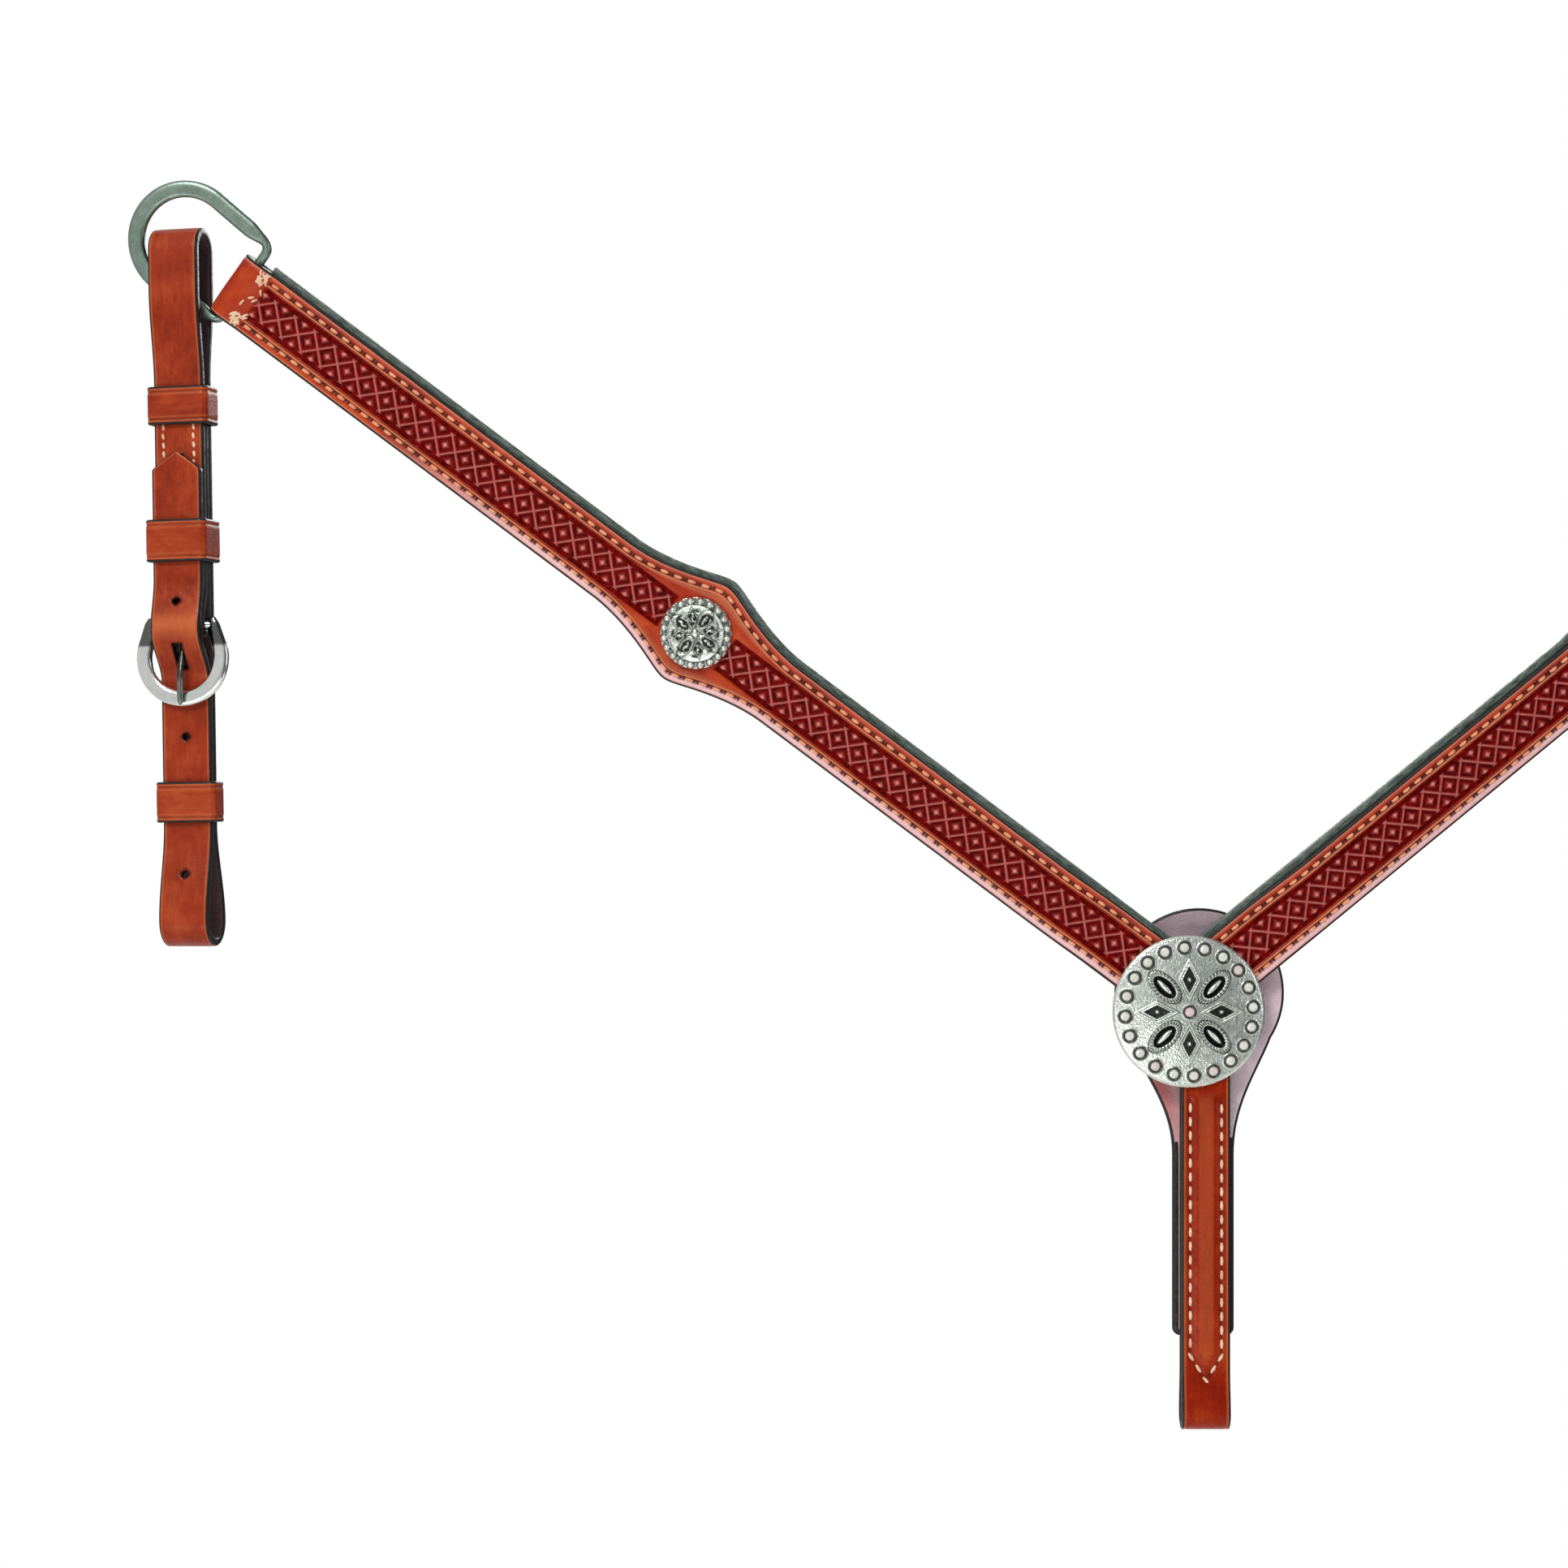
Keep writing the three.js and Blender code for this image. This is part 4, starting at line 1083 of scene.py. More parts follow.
def backing_outline():
    """The teardrop backing's outline, evenly spaced, in X and Z."""
    x, lift, half = BACKING_X, BACKING_LIFT, TAIL_WIDTH / 2
    left, right = DOWN_X - half, DOWN_X + half
    leave = math.radians(-32)
    edge_x, edge_z = BACKING_RADIUS * math.cos(leave), lift + BACKING_RADIUS * math.sin(leave)
    sweep_x, sweep_z, tail_z = edge_x - 6, edge_z - 15, TAIL_TOP + 20
    circle = arc(x, lift, BACKING_RADIUS, -32, 212, 160)
    down = bezier((x - edge_x, edge_z), (x - sweep_x, sweep_z), (left, tail_z), (left, TAIL_TOP))
    up = bezier((right, TAIL_TOP), (right, tail_z), (x + sweep_x, sweep_z), (x + edge_x, edge_z))
    corner_left = arc(left + 3, TAIL_BOTTOM + 3, 3, 180, 270, 6)
    corner_right = arc(right - 3, TAIL_BOTTOM + 3, 3, 270, 360, 6)
    outline = lines(circle, down[1:], corner_left, corner_right, up[:-1])
    stops = np.linspace(0, length_of(outline), 420, endpoint=False)
    return resample(np.vstack([outline, outline[:1]]), stops)


def backing():
    outline = backing_outline()
    n = len(outline)
    along = np.roll(outline, -1, 0) - np.roll(outline, 1, 0)
    along /= np.linalg.norm(along, axis=1, keepdims=True)
    inward = np.stack([-along[:, 1], along[:, 0]], 1)
    rings = [(2.2, 0.0), (0.5, 0.0), (0.1, 0.3), (0.0, 0.8), (0.0, BACKING - 1.1), (0.2, BACKING - 0.5),
             (0.6, BACKING - 0.12), (1.1, BACKING), (2.4, BACKING + 0.05), (4.0, BACKING - 0.04),
             (6.0, BACKING)]
    loops = [np.stack([outline[:, 0] + inward[:, 0] * k, outline[:, 1] + inward[:, 1] * k,
                       np.full(n, h)], 1) for k, h in rings]
    points = np.concatenate(loops)
    quads = grid_faces(len(rings), n, wrap_columns=True)
    kinds = np.zeros(quads.shape[:2], int)
    kinds[1:7] = EDGE
    tail = outline[:, 1] < -52
    kinds[7, tail] = EDGE
    kinds[0] = BACK
    # Lower left turns red where the painted sheen gives way to the leather's own red; the face darkens
    # towards the top as painted shade.
    red = ease01((8 - points[:, 0]) / 22) * ease01((-18 - points[:, 1]) / 14)
    faces = [quads.reshape(-1, 4), *end_caps(len(rings), n)]
    made = build("backing_leather", points, faces, centre_frame(0),
                 [BACKING_SHEEN_FACE, BLACK_EDGE, LINING_BACK], [kinds.ravel(), [BACK], [FRONT]],
                 wear=red, dark=0.5 * ease01((points[:, 1] - 22) / 10))
    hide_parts("centre_backing")
    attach(made, "centre")


def v_row():
    """The stitch line on the down strap: two sides that meet in a point."""
    left, right = DOWN_X - V_HALF, DOWN_X + V_HALF
    return lines((left, V_TOP), (left, V_SHOULDER), (DOWN_X, V_POINT), (right, V_SHOULDER), (right, V_TOP))


def down_strap():
    front = STACK_FRONT + DOWN_LEATHER / 2
    behind = -(BACKING + GAP + DOWN_LEATHER / 2)
    middle, radius = (front + behind) / 2, DOWN_LOOP_RADIUS
    fold = DOWN_BOTTOM + radius + DOWN_LEATHER / 2
    path = lines(
        (front, DOWN_TOP), (front, DOWN_TAPER), swing((front, DOWN_TAPER), (middle - radius, fold)),
        arc(middle, fold, radius, 180, 360, 40), swing((middle + radius, fold), (behind, DOWN_TAPER)),
        (behind, DOWN_TAPER), (behind, DOWN_TOP),
    )
    stops = np.arange(0, length_of(path), 0.7)
    line = resample(path, stops)
    out = normals_of(line)
    columns = np.array([0, 1.2, 2.4, 3.4, 4.2, 4.8, 5.3, 5.8, 6.2, 6.6, 7.1, 7.7, 8.3, 8.75])
    columns = np.concatenate([-columns[:0:-1], columns])
    z = line[:, 1][:, None] + 0 * columns
    is_front = (stops < DOWN_TOP + 160)[:, None]
    row = v_row()
    dense = resample(row, np.arange(0, length_of(row), 0.5))
    flat = np.stack([columns[None, :] + DOWN_X + 0 * z, z], -1)
    gap = np.full(z.shape, 1e9)
    for start in range(0, len(dense), 40):
        part = dense[start:start + 40]
        gap = np.minimum(gap, np.linalg.norm(flat[:, :, None, :] - part, axis=-1).min(-1))
    from_middle = np.abs(columns)[None, :]
    inside = (from_middle < V_HALF) & (z < -30) & (z > V_SHOULDER - (V_HALF - from_middle) * 1.55)
    bulge = ease01(gap / 3.0) * inside * ease01((-30 - z) / 8)
    lift = is_front * (0.75 * bulge - 0.3 * bell(gap, 0.8)) + 0.04 * np.sin(z * 0.35)
    lift -= 0.25 * np.clip(1 - (DOWN_WIDTH / 2 - np.abs(columns)) / 2.5, 0, 1)
    lift[:, [0, -1]] = 0
    thick = DOWN_LEATHER / 2
    shape = Skin(line - out * thick, line + out * thick, DOWN_WIDTH / 2, columns, lift, 0.95, 0.5)
    faces, kinds = shape.faces()
    local = shape.points[:, [1, 0, 2]] + [DOWN_X, 0, 0]
    # Wear and painted highlight: along the rounded edges and on the raised centre between the stitch rows.
    edge_wear = 0.55 * bell(DOWN_WIDTH / 2 - np.abs(columns) - 1.2, 0.4)
    wear = np.clip(edge_wear[None, :] + 0.25 * bulge * is_front * (gap > 3.5), 0, 1)
    # Painted shade: along the groove of the stitch line.
    dark = is_front * 0.55 * bell(gap, 0.7)
    made = build("down_strap_leather", local, faces, np.eye(4), [DOWN_CHESTNUT, BLACK_EDGE, FLESH], kinds,
                 place=local[:, [2, 0, 1]], wear=shape.field(wear), dark=shape.field(dark))
    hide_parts("down_strap")
    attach(made, "centre")
    stops = np.arange(2.4, length_of(row), 5.5)
    spots, ahead = resample(row, stops), resample(row, stops + 0.3) - resample(row, stops - 0.3)
    spots3 = np.stack([spots[:, 0], np.full(len(spots), STACK_FRONT + 0.1), spots[:, 1]], 1)
    ahead3 = np.stack([ahead[:, 0], 0 * ahead[:, 0], ahead[:, 1]], 1)
    parts = [stitches(spots3, ahead3, np.tile([0.0, -1, 0], (len(spots), 1)), 3.9, 0.62)]
    back = spots3[spots3[:, 2] > TAIL_BOTTOM + 2] + [0, 0, 2.7]
    back[:, 1] = -0.15
    ahead_back = ahead3[spots3[:, 2] > TAIL_BOTTOM + 2]
    parts.append(stitches(back, ahead_back, np.tile([0.0, 1, 0], (len(back), 1)), 3.6, 0.6))
    points, faces = merged(parts)
    thread = build("down_strap_thread", points, faces, np.eye(4), [THREAD])
    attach(thread, "centre")


# D-ring ----------------------------------------------------------------------------------------

def band_sweep(outside, inside, thick, power=4.0, sides=20, squeeze=1.0, closed=False):
    """A band between two plane curves with a rounded section. A higher power is a squarer section."""
    n = len(outside)
    given = (power, thick, squeeze)
    power, thick, share = (np.broadcast_to(np.asarray(v, float), (n,))[:, None] for v in given)
    angle = np.linspace(0, 2 * math.pi, sides, endpoint=False)[None, :]
    c, s = np.cos(angle), np.sin(angle)
    reach = (np.abs(c) ** power + np.abs(s) ** power) ** (-1 / power)
    u, v = c * reach * share, s * reach * share
    middle = (outside + inside) / 2
    half = (outside - inside) / 2
    plane = middle[:, None, :] + half[:, None, :] * u[:, :, None]
    points = np.concatenate([plane, (thick / 2 * v)[:, :, None]], -1).reshape(-1, 3)
    quads = grid_faces(n, sides, wrap_rows=closed, wrap_columns=True).reshape(-1, 4)
    if closed:
        return points, [quads]
    return points, [quads, *end_caps(n, sides)]


def round_bar(radius, start, end, centre, sides=24):
    """A round bar with softened ends along x."""
    along = np.array([start, start + 0.15, start + 0.5, end - 0.5, end - 0.15, end])
    size = radius * np.array([0.6, 0.88, 1, 1, 0.88, 0.6])
    angle = np.linspace(0, 2 * math.pi, sides, endpoint=False)
    a = size[:, None] * np.cos(angle)
    b = size[:, None] * np.sin(angle)
    t = along[:, None] + 0 * a
    points = np.stack([t, a, b], -1).reshape(-1, 3) + centre
    quads = grid_faces(len(along), sides, wrap_columns=True).reshape(-1, 4)
    return points, [quads, *end_caps(len(along), sides)]


def dee_ring(side):
    reach = math.hypot(DEE_ARC_AT, DEE_HALF_BAR)
    to_bar = math.degrees(math.atan2(DEE_HALF_BAR, -DEE_ARC_AT))
    touch = to_bar - math.degrees(math.acos(DEE_ARC_RADIUS / reach))
    bend = arc(DEE_ARC_AT, 0, DEE_ARC_RADIUS, -touch, touch, 80)
    corner = np.array([0.0, -DEE_HALF_BAR])
    side_way = (bend[0] - corner) / np.linalg.norm(bend[0] - corner)
    t = np.linspace(0, 1, 14)[:, None]
    before, after = corner + [0, 4.4], corner + side_way * 4.4
    fillet = (1 - t) ** 2 * before + 2 * t * (1 - t) * corner + t ** 2 * after
    straight = resample(lines(after, bend[0]), np.linspace(0, np.linalg.norm(bend[0] - after), 24))[1:-1]
    lower = lines((0.0, 0.0), (0.0, -6.0), fillet, straight)
    line = lines(lower, bend, (lower * [1, -1])[::-1][:-1])
    total = length_of(np.vstack([line, line[:1]]))
    line = resample(np.vstack([line, line[:1]]), np.linspace(0, total, 220, endpoint=False))
    along = np.linspace(0, total, 220, endpoint=False)
    from_bar = np.minimum(along, total - along) - DEE_HALF_BAR
    flatness = ease01((from_bar - 0.5) / 9.0)
    width = 2 * DEE_BAR_RADIUS + (DEE_WIRE - 2 * DEE_BAR_RADIUS) * flatness
    way = np.roll(line, -1, 0) - np.roll(line, 1, 0)
    way /= np.linalg.norm(way, axis=1, keepdims=True)
    out = np.stack([way[:, 1], -way[:, 0]], 1)
    thick = 2 * DEE_BAR_RADIUS + (DEE_THICK - 2 * DEE_BAR_RADIUS) * flatness
    points, faces = band_sweep(line + out * width[:, None] / 2, line - out * width[:, None] / 2, thick,
                               2.0 + 2.4 * flatness, 24, closed=True)
    base = arm_frame(side, ARM_ROLL) @ shift(DEE_BAR_AT, DEE_OFFSET, 0)
    made = build(f"{side}_dee", points, faces, base, [RING_METAL], dark=np.zeros(len(points)))
    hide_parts(f"{side}_dee_ring")
    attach(made, f"{side}_dee")


# Tug -------------------------------------------------------------------------------------------

def layer_at(count):
    return -(count * TUG_LAYER + TUG_LEATHER / 2)


def tug_path():
    """The strap's centre line in depth and height: billet, bottom loop, back, top loop, chape."""
    back, chape_back, chape, billet = (layer_at(k) for k in range(4))
    top_radius = (TOP_LOOP_DEPTH - TUG_LEATHER) / 2
    top_z = TOP_FOLD - TOP_LOOP_DEPTH / 2
    bottom_radius = (BOTTOM_LOOP_DEPTH - TUG_LEATHER) / 2
    bottom_z = BOTTOM_FOLD + BOTTOM_LOOP_DEPTH / 2
    eye = HEEL_BAR_RADIUS + GAP + TUG_LEATHER / 2
    over, under = (-15.75, HEEL_BAR - 2), (chape_back, -153.5)
    front_low = (-BOTTOM_LOOP_MIDDLE - bottom_radius, bottom_z)
    back_low = (-BOTTOM_LOOP_MIDDLE + bottom_radius, bottom_z)
    back_top = (-TUG_MIDDLE + top_radius, top_z - 16)
    front_top = (-TUG_MIDDLE - top_radius, top_z - 16)
    bar = -HEEL_BAR_DEPTH
    return lines(
        (billet, BILLET_TIP), (billet, BILLET_FLAT_TO), swing((billet, BILLET_FLAT_TO), over),
        over, swing(over, under), under,
        (chape_back, LOWER_LOOP_FROM), swing((chape_back, LOWER_LOOP_FROM), front_low),
        arc(-BOTTOM_LOOP_MIDDLE, bottom_z, bottom_radius, 180, 360, 60),
        swing(back_low, (back, LOWER_LOOP_FROM)), (back, LOWER_LOOP_FROM),
        (back, UPPER_LOOP_FROM), swing((back, UPPER_LOOP_FROM), back_top),
        back_top, arc(-TUG_MIDDLE, top_z, top_radius, 0, 180, 60), front_top,
        swing(front_top, (chape, UPPER_LOOP_FROM)), (chape, UPPER_LOOP_FROM), (chape, -117),
        swing((chape, -117), (bar - eye, HEEL_BAR)), arc(bar, HEEL_BAR, eye, 180, 360, 36),
        swing((bar + eye, HEEL_BAR), (chape_back, -121)), (chape_back, -121), (chape_back, CHAPE_END),
    )


TUG_COLUMNS = np.array([0, 0.5, 1.0, 1.5, 1.95, 2.4, 3.1, 4.0, 5.0, 5.9, 6.7, 7.4, 7.9, 8.3, 8.65])
TUG_COLUMNS = np.concatenate([-TUG_COLUMNS[:0:-1], TUG_COLUMNS]) * (TUG_WIDTH / 2 - 0.85) / 8.65


def tug_strap(side):
    path = tug_path()
    total = length_of(path)
    rough = resample(path, np.arange(0, total, 0.25))
    travelled = np.arange(len(rough)) * 0.25
    first = travelled < 200

    def stop_at(z):
        return float(np.interp(-z, -rough[first, 1], travelled[first]))

    hole_stops = [stop_at(z) for z in BILLET_HOLES]
    slot_stops = [stop_at(z) for z in (SLOT[1], SLOT[0])]
    stops = np.arange(0, total - 0.6, 1.0)
    keep = np.ones(len(stops), bool)
    extra = [np.arange(0, 1, 0.25)]
    for stop in hole_stops:
        keep &= np.abs(stops - stop) > 4.2
        extra.append(stop + np.arange(-4, 4.1, 0.5))
    for stop in slot_stops:
        keep &= np.abs(stops - stop) > 1.1
        extra.append(stop + np.array([-1, -0.4, 0, 0.4, 1]))
    stops = np.unique(np.round(np.concatenate([stops[keep], [total - 0.01], *extra]), 4))
    line = resample(path, stops)
    smooth = (np.vstack([line[:1], line[:-1]]) + line + np.vstack([line[1:], line[-1:]])) / 3
    line[2:-2] = smooth[2:-2]
    out = normals_of(line)
    half = TUG_WIDTH / 2 * np.clip((stops + 0.9) / (BILLET_POINT + 0.9), 0.05, 1)
    columns = TUG_COLUMNS[None, :] * (half[:, None] / (TUG_WIDTH / 2))
    s = stops[:, None] + 0 * columns
    inset = half[:, None] - np.abs(columns)
    lift = -0.3 * np.clip(1 - inset / 2.4, 0, 1) ** 2 + 0.05 * np.sin(s * 0.23 + columns * 0.15)
    # Painted shade: a ring round each hole and round the slot is darkened.
    rim = np.zeros(columns.shape)
    for stop in hole_stops:
        gap = np.hypot(s - stop, columns)
        rim = np.maximum(rim, bell(gap - HOLE_RADIUS - 0.2, 0.7))
        lift += 0.14 * bell(gap - 3.0, 0.8) - 0.35 * bell(gap - HOLE_RADIUS + 0.2, 0.8)
    slot_middle, slot_half = sum(slot_stops) / 2, (slot_stops[1] - slot_stops[0]) / 2
    past_end = np.maximum(np.abs(s - slot_middle) - slot_half, 0)
    past_side = np.maximum(np.abs(columns) - 1.95, 0)
    slot_gap = np.hypot(past_end, past_side)
    lift -= 0.35 * bell(slot_gap, 0.7)
    rim = np.maximum(rim, bell(slot_gap, 0.6))
    lift[:, [0, -1]] = 0
    thick = TUG_LEATHER / 2
    shape = Skin(line - out * thick, line + out * thick, half, columns, lift, 0.85, 0.45)
    grid = shape.points.reshape(shape.n, shape.loop_count, 3)
    middle = len(TUG_COLUMNS) // 2
    tangent = np.stack([out[:, 1], -out[:, 0]], 1)
    for stop in hole_stops:
        x = stops[:, None] - stop
        y = grid[:, :, 1]
        square = np.maximum(np.abs(x), np.abs(y))
        ratio = square / np.maximum(np.hypot(x, y), 1e-6)
        weight = np.clip((4.0 - square) / (4.0 - HOLE_RADIUS), 0, 1)
        move = (ratio - 1) * weight
        grid[:, :, 0] += tangent[:, None, 0] * x * move
        grid[:, :, 2] += tangent[:, None, 1] * x * move
        grid[:, :, 1] += y * move
        rows = np.nonzero(np.abs(stops - stop) < HOLE_RADIUS + 0.01)[0]
        shape.cut(rows[0], rows[-1], middle - 3, middle + 3)
    rows = [int(np.argmin(np.abs(stops - stop))) for stop in slot_stops]
    shape.cut(rows[0], rows[1], middle - 4, middle + 4)
    last = (stops > total - 110)[:, None]
    fold = np.nonzero(last[:, 0] & (np.abs(line[:, 1] - HEEL_BAR + 0.5) < 6.4))[0]
    shape.cut(fold[0], fold[-1], middle - 5, middle + 5)
    shape.points = grid.reshape(-1, 3)
    faces, kinds = shape.faces()
    local = shape.points[:, [1, 0, 2]]
    rest = np.stack([np.repeat(stops, shape.loop_count), shape.points[:, 1], np.zeros(len(local))], 1)
    # Painted highlight where the strap bends over the heel bar, with wear and painted highlight on its
    # edges.
    bend_highlight = 0.55 * bell(s - np.interp(-HEEL_BAR, -line[:150, 1], stops[:150]), 4.0)
    wear = np.clip(0.5 * bell(inset - 1.1, 0.35) + bend_highlight * (np.abs(columns) < 9), 0, 1)
    made = build(f"{side}_tug_leather", local, faces, tug_frame(side), [CHESTNUT, BLACK_EDGE, FLESH], kinds,
                 place=rest, wear=shape.field(wear), dark=shape.field(np.clip(rim, 0, 1) * 0.8))
    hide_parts(f"{side}_tug_strap")
    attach(made, f"{side}_tug")


def tug_thread(side):
    """The two rows that close the chape, and their backs."""
    spots, along, up = [], [], []
    for x in (-6.35, 6.35):
        for z in np.arange(-38.0, -119, -3.6):
            spots.append([x + 0.12 * math.sin(z * 3), layer_at(2) - TUG_LEATHER / 2 + 0.16, z])
            along.append([0.12, 0, 1])
            up.append([0, -1, 0])
            if z > CHAPE_END - 66:
                spots.append([x, layer_at(1) + TUG_LEATHER / 2 - 0.12, z - 1.8])
                along.append([0.1, 0, 1])
                up.append([0, 1, 0])
    points, faces = stitches(spots, along, up, 2.9, 0.55, 0.6)
    made = build(f"{side}_tug_thread", points, faces, tug_frame(side), [THREAD])
    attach(made, f"{side}_tug")


def buckle(side):
    inner = BUCKLE_RADIUS - BUCKLE_BAND
    top = HEEL_BAR + 3
    throat = HEEL_BAR - 2.6
    rim = arc(0, BUCKLE_CENTRE, BUCKLE_RADIUS, 16, -196, 110)
    outside = lines((BUCKLE_SHOULDER, top), rim, (-BUCKLE_SHOULDER, top))
    inside = lines((BUCKLE_MOUTH, top), (BUCKLE_MOUTH, throat), arc(0, BUCKLE_CENTRE, inner, 18, -198, 110),
                   (-BUCKLE_MOUTH, throat), (-BUCKLE_MOUTH, top))
    count = 150
    outside = resample(outside, np.linspace(0, length_of(outside), count))
    inside = resample(inside, np.linspace(0, length_of(inside), count))
    share = np.minimum(np.arange(count), np.arange(count)[::-1]) / 4
    squeeze = 0.7 + 0.3 * ease01(share)
    points, faces = band_sweep(outside, inside, BUCKLE_THICK, 2.8, 24, squeeze)
    points = np.stack([points[:, 0], -HEEL_BAR_DEPTH - points[:, 2], points[:, 1]], 1)
    reach = BUCKLE_MOUTH + 2
    bar = round_bar(HEEL_BAR_RADIUS, -reach, reach, (0, -HEEL_BAR_DEPTH, HEEL_BAR))
    # Painted shade: the frame is darkened above its middle, and the heel bar where the chape wraps round it.
    shade = 0.82 * ease01((points[:, 2] - (BUCKLE_CENTRE + 4.2)) / 1.2)
    merged_points, merged_faces = merged([(points, faces), bar])
    dark = np.concatenate([shade, np.full(len(bar[0]), 0.3)])
    made = build(f"{side}_buckle_casting", merged_points, merged_faces, tug_frame(side), [BRIGHT], dark=dark)
    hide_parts(f"{side}_buckle_frame")
    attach(made, f"{side}_buckle")


def prong(side):
    """The tongue: an eye round the heel bar and a tapering prong that rests on the frame."""
    bore = HEEL_BAR_RADIUS + GAP
    ring = arc(-HEEL_BAR_DEPTH, HEEL_BAR, 1.0, 0, 360, 48)[:-1]
    unit = ring - [-HEEL_BAR_DEPTH, HEEL_BAR]
    columns = np.array([-1.1, -0.5, 0, 0.5, 1.1])
    outer, inner = ring + unit * (bore + 0.5), ring + unit * (bore - 1.0)
    eye = Skin(outer, inner, 1.5, columns, None, 0.4, 0.3, loop=True)
    faces, _ = eye.faces()
    eye_part = (eye.points[:, [1, 0, 2]], faces[:1])
    path = lines((-HEEL_BAR_DEPTH - 0.2, HEEL_BAR - bore - 0.5), (-9, -140), (-10.2, -145), (-11.6, -149.5),
                 (-12.2, -153.5), (-12.1, -163))
    line = resample(path, np.linspace(0, length_of(path), 60))
    for _ in range(6):
        line[1:-1] = (line[:-2] + 2 * line[1:-1] + line[2:]) / 4
    out = normals_of(line)
    share = np.linspace(0, 1, 60)
    rounded_tip = np.sqrt(np.clip(1 - np.clip((share - 0.93) / 0.07, 0, 1) ** 2, 0.05, 1))
    wide = (1.5 - 0.35 * share) * rounded_tip
    deep = (1.1 - 0.2 * share) * rounded_tip
    angle = np.linspace(0, 2 * math.pi, 16, endpoint=False)
    x = wide[:, None] * np.cos(angle)
    depth = deep[:, None] * np.sin(angle)
    plane = line[:, None, :] + out[:, None, :] * depth[:, :, None]
    points = np.concatenate([x[:, :, None], plane], -1).reshape(-1, 3)
    quads = grid_faces(60, 16, wrap_columns=True).reshape(-1, 4)
    rod = (points, [quads, *end_caps(60, 16)])
    points, faces = merged([eye_part, rod])
    # Painted shade: the prong is darkened from just above its tip up to the heel bar.
    dark = 0.75 * ease01((points[:, 2] + 155) / 4)
    made = build(f"{side}_prong", points, faces, tug_frame(side), [PRONG_METAL], dark=dark)
    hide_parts(f"{side}_buckle_tongue")
    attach(made, f"{side}_tongue")


def rounded_rectangle(half, near, far, radius, spacing=0.8):
    """A closed rounded rectangle in width and depth, with its outward normals."""
    corners = [(half - radius, far - radius, 0), (-half + radius, far - radius, 90),
               (-half + radius, near + radius, 180), (half - radius, near + radius, 270)]
    parts = [arc(x, y, radius, start, start + 90, 9) for x, y, start in corners]
    line = lines(*parts)
    closed = np.vstack([line, line[:1]])
    count = int(length_of(closed) / spacing)
    made = resample(closed, np.linspace(0, length_of(closed), count, endpoint=False))
    along = np.roll(made, -1, 0) - np.roll(made, 1, 0)
    along /= np.linalg.norm(along, axis=1, keepdims=True)
    return made, np.stack([along[:, 1], -along[:, 0]], 1)


def keeper(side, name, at, height, layers):
    half, near = TUG_WIDTH / 2 + GAP, -(layers * TUG_LAYER)
    outer, normal = rounded_rectangle(half + KEEPER_WALL, near - KEEPER_WALL, GAP + KEEPER_WALL, 2.6)
    outer = outer - normal * 0.04
    inner = outer - normal * (KEEPER_WALL - 0.08)
    bow = 0.3 * np.clip(1 - (outer[:, 0] / half) ** 2, 0, 1) * (outer[:, 1] < near)
    outer = outer + normal * bow[:, None]
    edge = height / 2
    across = np.array([0, 1.2, 2.4, 3.6, 4.3, 4.9, 5.3, 5.7, 6.2])
    across = across * (edge - 0.9) / 6.2
    columns = np.concatenate([-across[:0:-1], across])
    inset = edge - np.abs(columns)
    crease = bell(inset - 2.1, 0.42)
    lift = (-0.3 * crease - 0.3 * np.clip(1 - inset / 1.9, 0, 1))[None, :] + np.zeros((len(outer), 1))
    seam = np.clip(1 - np.abs(outer[:, 0] - 2.5) / 0.9, 0, 1) * (outer[:, 1] > 0)
    lift = lift - 0.35 * seam[:, None]
    lift[:, [0, -1]] = 0
    shape = Skin(outer, inner, edge, columns, lift, 0.85, 0.35, loop=True)
    faces, kinds = shape.faces()
    points = shape.points[:, [0, 2, 1]]
    place = np.stack([points[:, 0] * 1.0, points[:, 2], points[:, 1]], 1) + [60 * layers, 0, 0]
    # Wear and painted highlight: the edges and the ridge beside each crease are lightened.
    wear = np.clip(0.6 * bell(inset - 1.2, 0.35) + 0.35 * bell(inset - 2.9, 0.4), 0, 1)[None, :]
    # Painted shade in the creases; the seam at the back is darkened as a joint.
    dark = 0.4 * crease[None, :] + 0.6 * seam[:, None]
    base = tug_frame(side) @ shift(0, 0, at)
    made = build(f"{side}_{name}_loop", points, faces, base, [CHESTNUT, BLACK_EDGE, FLESH], kinds,
                 place=place, wear=shape.field(wear + np.zeros((len(outer), 1))), dark=shape.field(dark))
    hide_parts(f"{side}_keeper_{name}")
    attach(made, f"{side}_{name}_keeper")
    heights = np.linspace(-edge + 3, edge - 3, 4)
    spots = [[x, GAP + KEEPER_WALL - 0.1, z] for x in (0.8, 4.6) for z in heights]
    count = len(spots)
    points, faces = stitches(spots, [[0, 0, 1]] * count, [[0, 1, 0]] * count, 2.4, 0.42, 0.5)
    thread = build(f"{side}_{name}_loop_thread", points, faces, base, [THREAD])
    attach(thread, f"{side}_{name}_keeper")


def make_tug(side):
    dee_ring(side)
    tug_strap(side)
    tug_thread(side)
    buckle(side)
    prong(side)
    for name, at, height, layers in KEEPERS:
        keeper(side, name, at, height, layers)


backing()
down_strap()
large_concho()
dress("centre_concho_screw", SCREW_METAL)
dress("down_strap_filler", FILLER)
for one in SIDES:
    make_arm(one)
    make_tug(one)


# Studio ----------------------------------------------------------------------------------------

FLOOR_Z = -0.52
FLOOR_RADIUS = 1.2


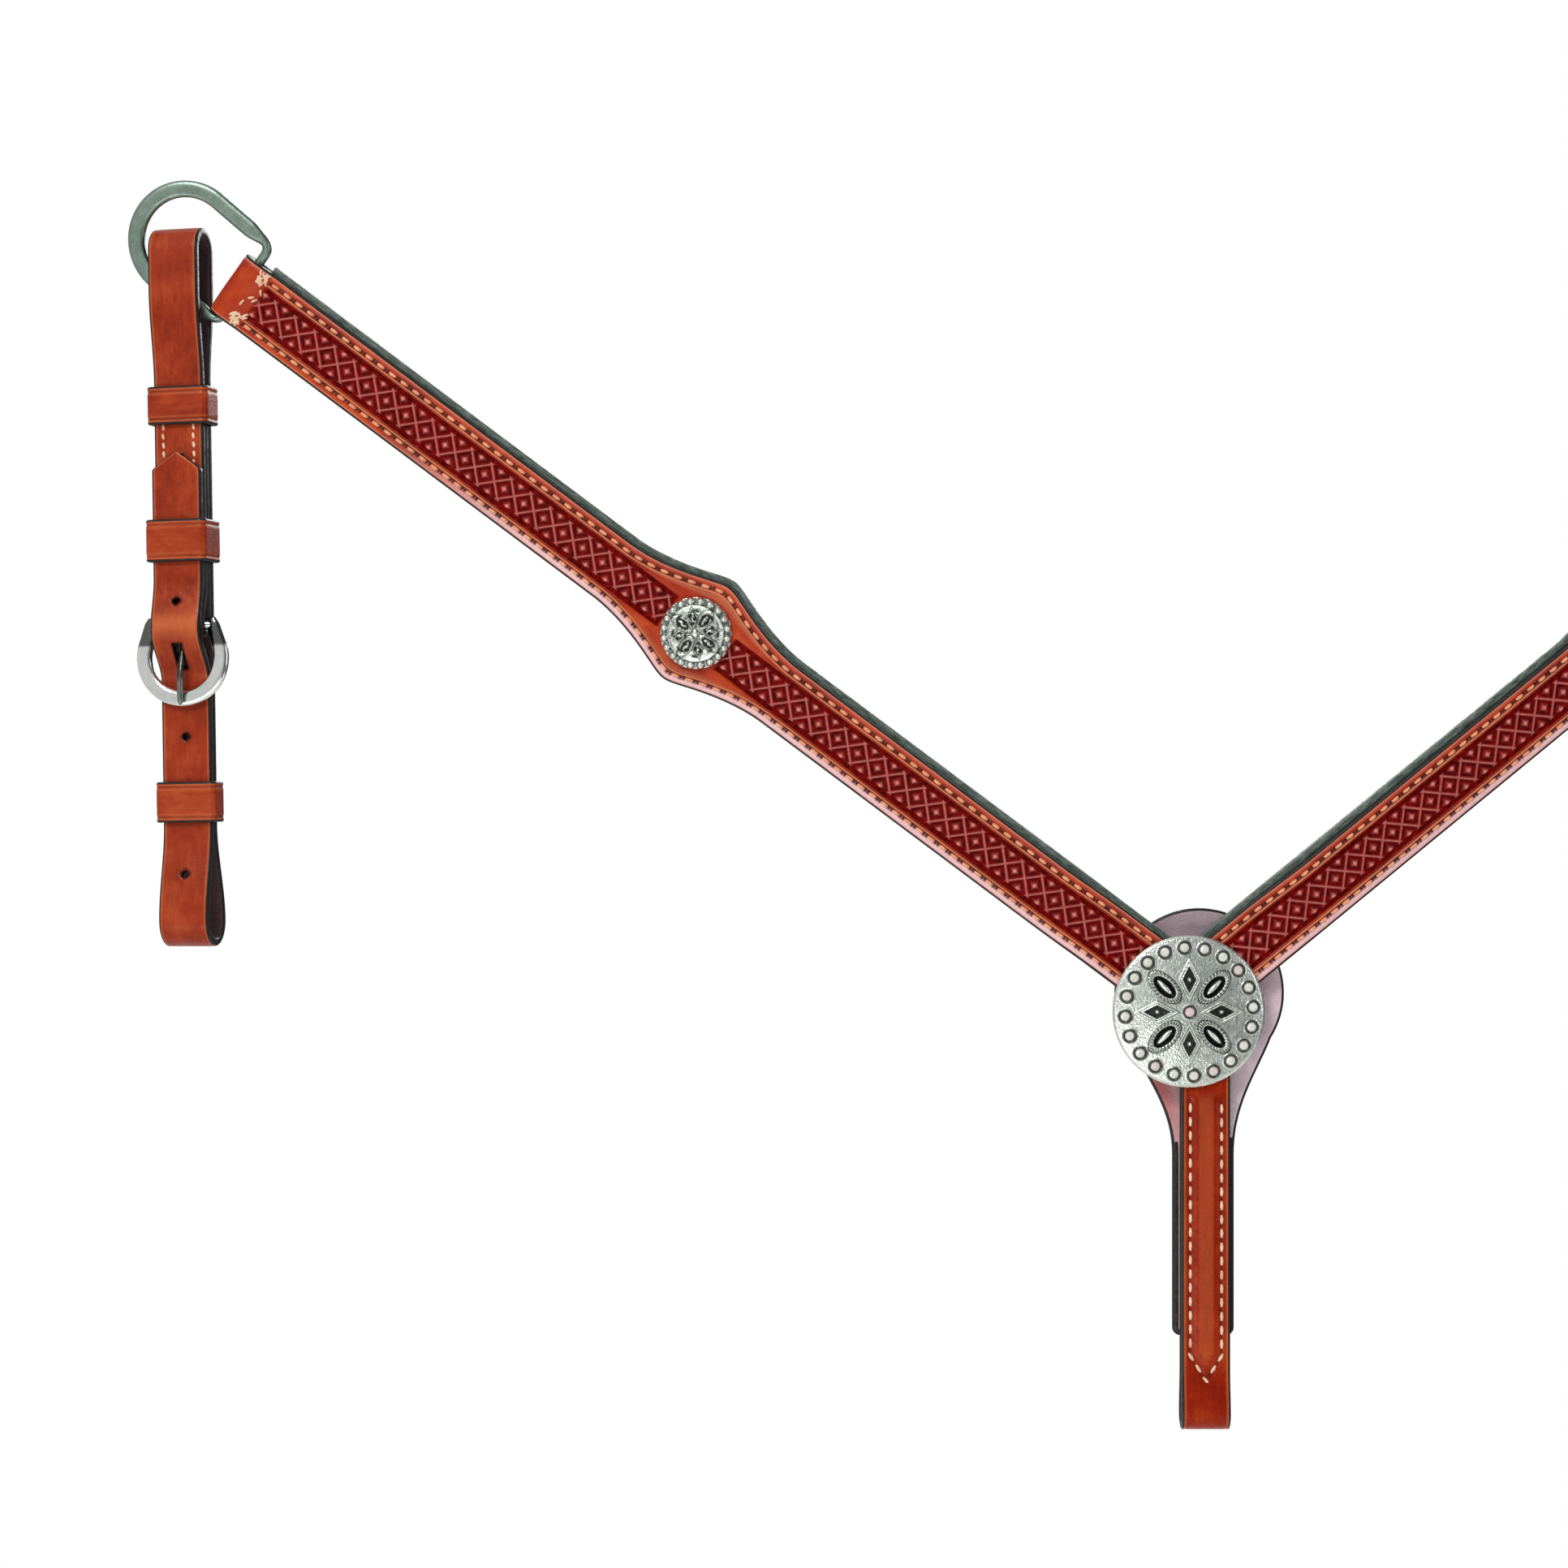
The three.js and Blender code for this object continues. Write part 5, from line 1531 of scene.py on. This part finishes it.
def floor():
    angle = np.linspace(0, 2 * math.pi, 96, endpoint=False)
    ring = np.stack([FLOOR_RADIUS * np.cos(angle), FLOOR_RADIUS * np.sin(angle), 0 * angle], 1)
    mesh = bpy.data.meshes.new("floor")
    mesh.from_pydata((ring + [0, 0, FLOOR_Z]).tolist(), [], [list(range(96))])
    look = Look("floor_pale", rest_coordinates=False)
    color = look.ramp(look.noise(0.01, 3), (0.3, srgb(232, 231, 229)), (0.7, srgb(240, 239, 237)))
    look.finish(Base_Color=color, Roughness=0.85)
    mesh.materials.append(look.material)
    made = bpy.data.objects.new("floor", mesh)
    scene.collection.objects.link(made)


def area_light(name, place, target, size, power):
    data = bpy.data.lights.new(name, "AREA")
    data.shape = "RECTANGLE"
    data.size, data.size_y = size
    data.energy = power
    made = bpy.data.objects.new(name, data)
    made.location = place
    aim = Vector(target) - Vector(place)
    made.rotation_euler = aim.to_track_quat("-Z", "Y").to_euler()
    scene.collection.objects.link(made)


def world_light(strength):
    """A white studio: pure white where it is seen, softer and darker below where it lights."""
    world = bpy.data.worlds.new("studio")
    scene.world = world
    world.use_nodes = True
    tree = world.node_tree
    tree.nodes.clear()
    out = tree.nodes.new("ShaderNodeOutputWorld")
    seen = tree.nodes.new("ShaderNodeBackground")
    seen.inputs["Color"].default_value = (1, 1, 1, 1)
    lit = tree.nodes.new("ShaderNodeBackground")
    lit.inputs["Strength"].default_value = strength
    place = tree.nodes.new("ShaderNodeTexCoord")
    split = tree.nodes.new("ShaderNodeSeparateXYZ")
    sideways = tree.nodes.new("ShaderNodeMath")
    sideways.operation = "MULTIPLY_ADD"
    sideways.inputs[1].default_value = -2.2
    ramp = tree.nodes.new("ShaderNodeValToRGB")
    ramp.color_ramp.elements[0].position = 0.25
    ramp.color_ramp.elements[0].color = (0.22, 0.22, 0.23, 1)
    ramp.color_ramp.elements[1].position = 0.85
    ramp.color_ramp.elements[1].color = (1, 1, 1, 1)
    rays = tree.nodes.new("ShaderNodeLightPath")
    mix = tree.nodes.new("ShaderNodeMixShader")
    shifted = tree.nodes.new("ShaderNodeMapRange")
    shifted.inputs["From Min"].default_value = -1
    links = tree.links
    links.new(place.outputs["Generated"], split.inputs[0])
    links.new(split.outputs["X"], sideways.inputs[0])
    links.new(split.outputs["Z"], sideways.inputs[2])
    links.new(sideways.outputs[0], shifted.inputs["Value"])
    links.new(shifted.outputs["Result"], ramp.inputs[0])
    links.new(ramp.outputs[0], lit.inputs["Color"])
    links.new(rays.outputs["Is Camera Ray"], mix.inputs[0])
    links.new(lit.outputs[0], mix.inputs[1])
    links.new(seen.outputs[0], mix.inputs[2])
    links.new(mix.outputs[0], out.inputs[0])


floor()
world_light(0.62)
area_light("key", (-0.7, -1.3, 1.1), (-0.1, 0, 0.1), (0.4, 0.4), 14)
area_light("fill", (1.1, -0.9, 0.3), (-0.1, 0, 0.1), (0.6, 1.0), 4)
area_light("low", (-0.55, -1.1, -0.5), (-0.15, 0, 0.1), (1.0, 0.25), 5)
area_light("back", (0.3, 1.5, 0.9), (0, 0, 0.1), (1.2, 0.8), 16)
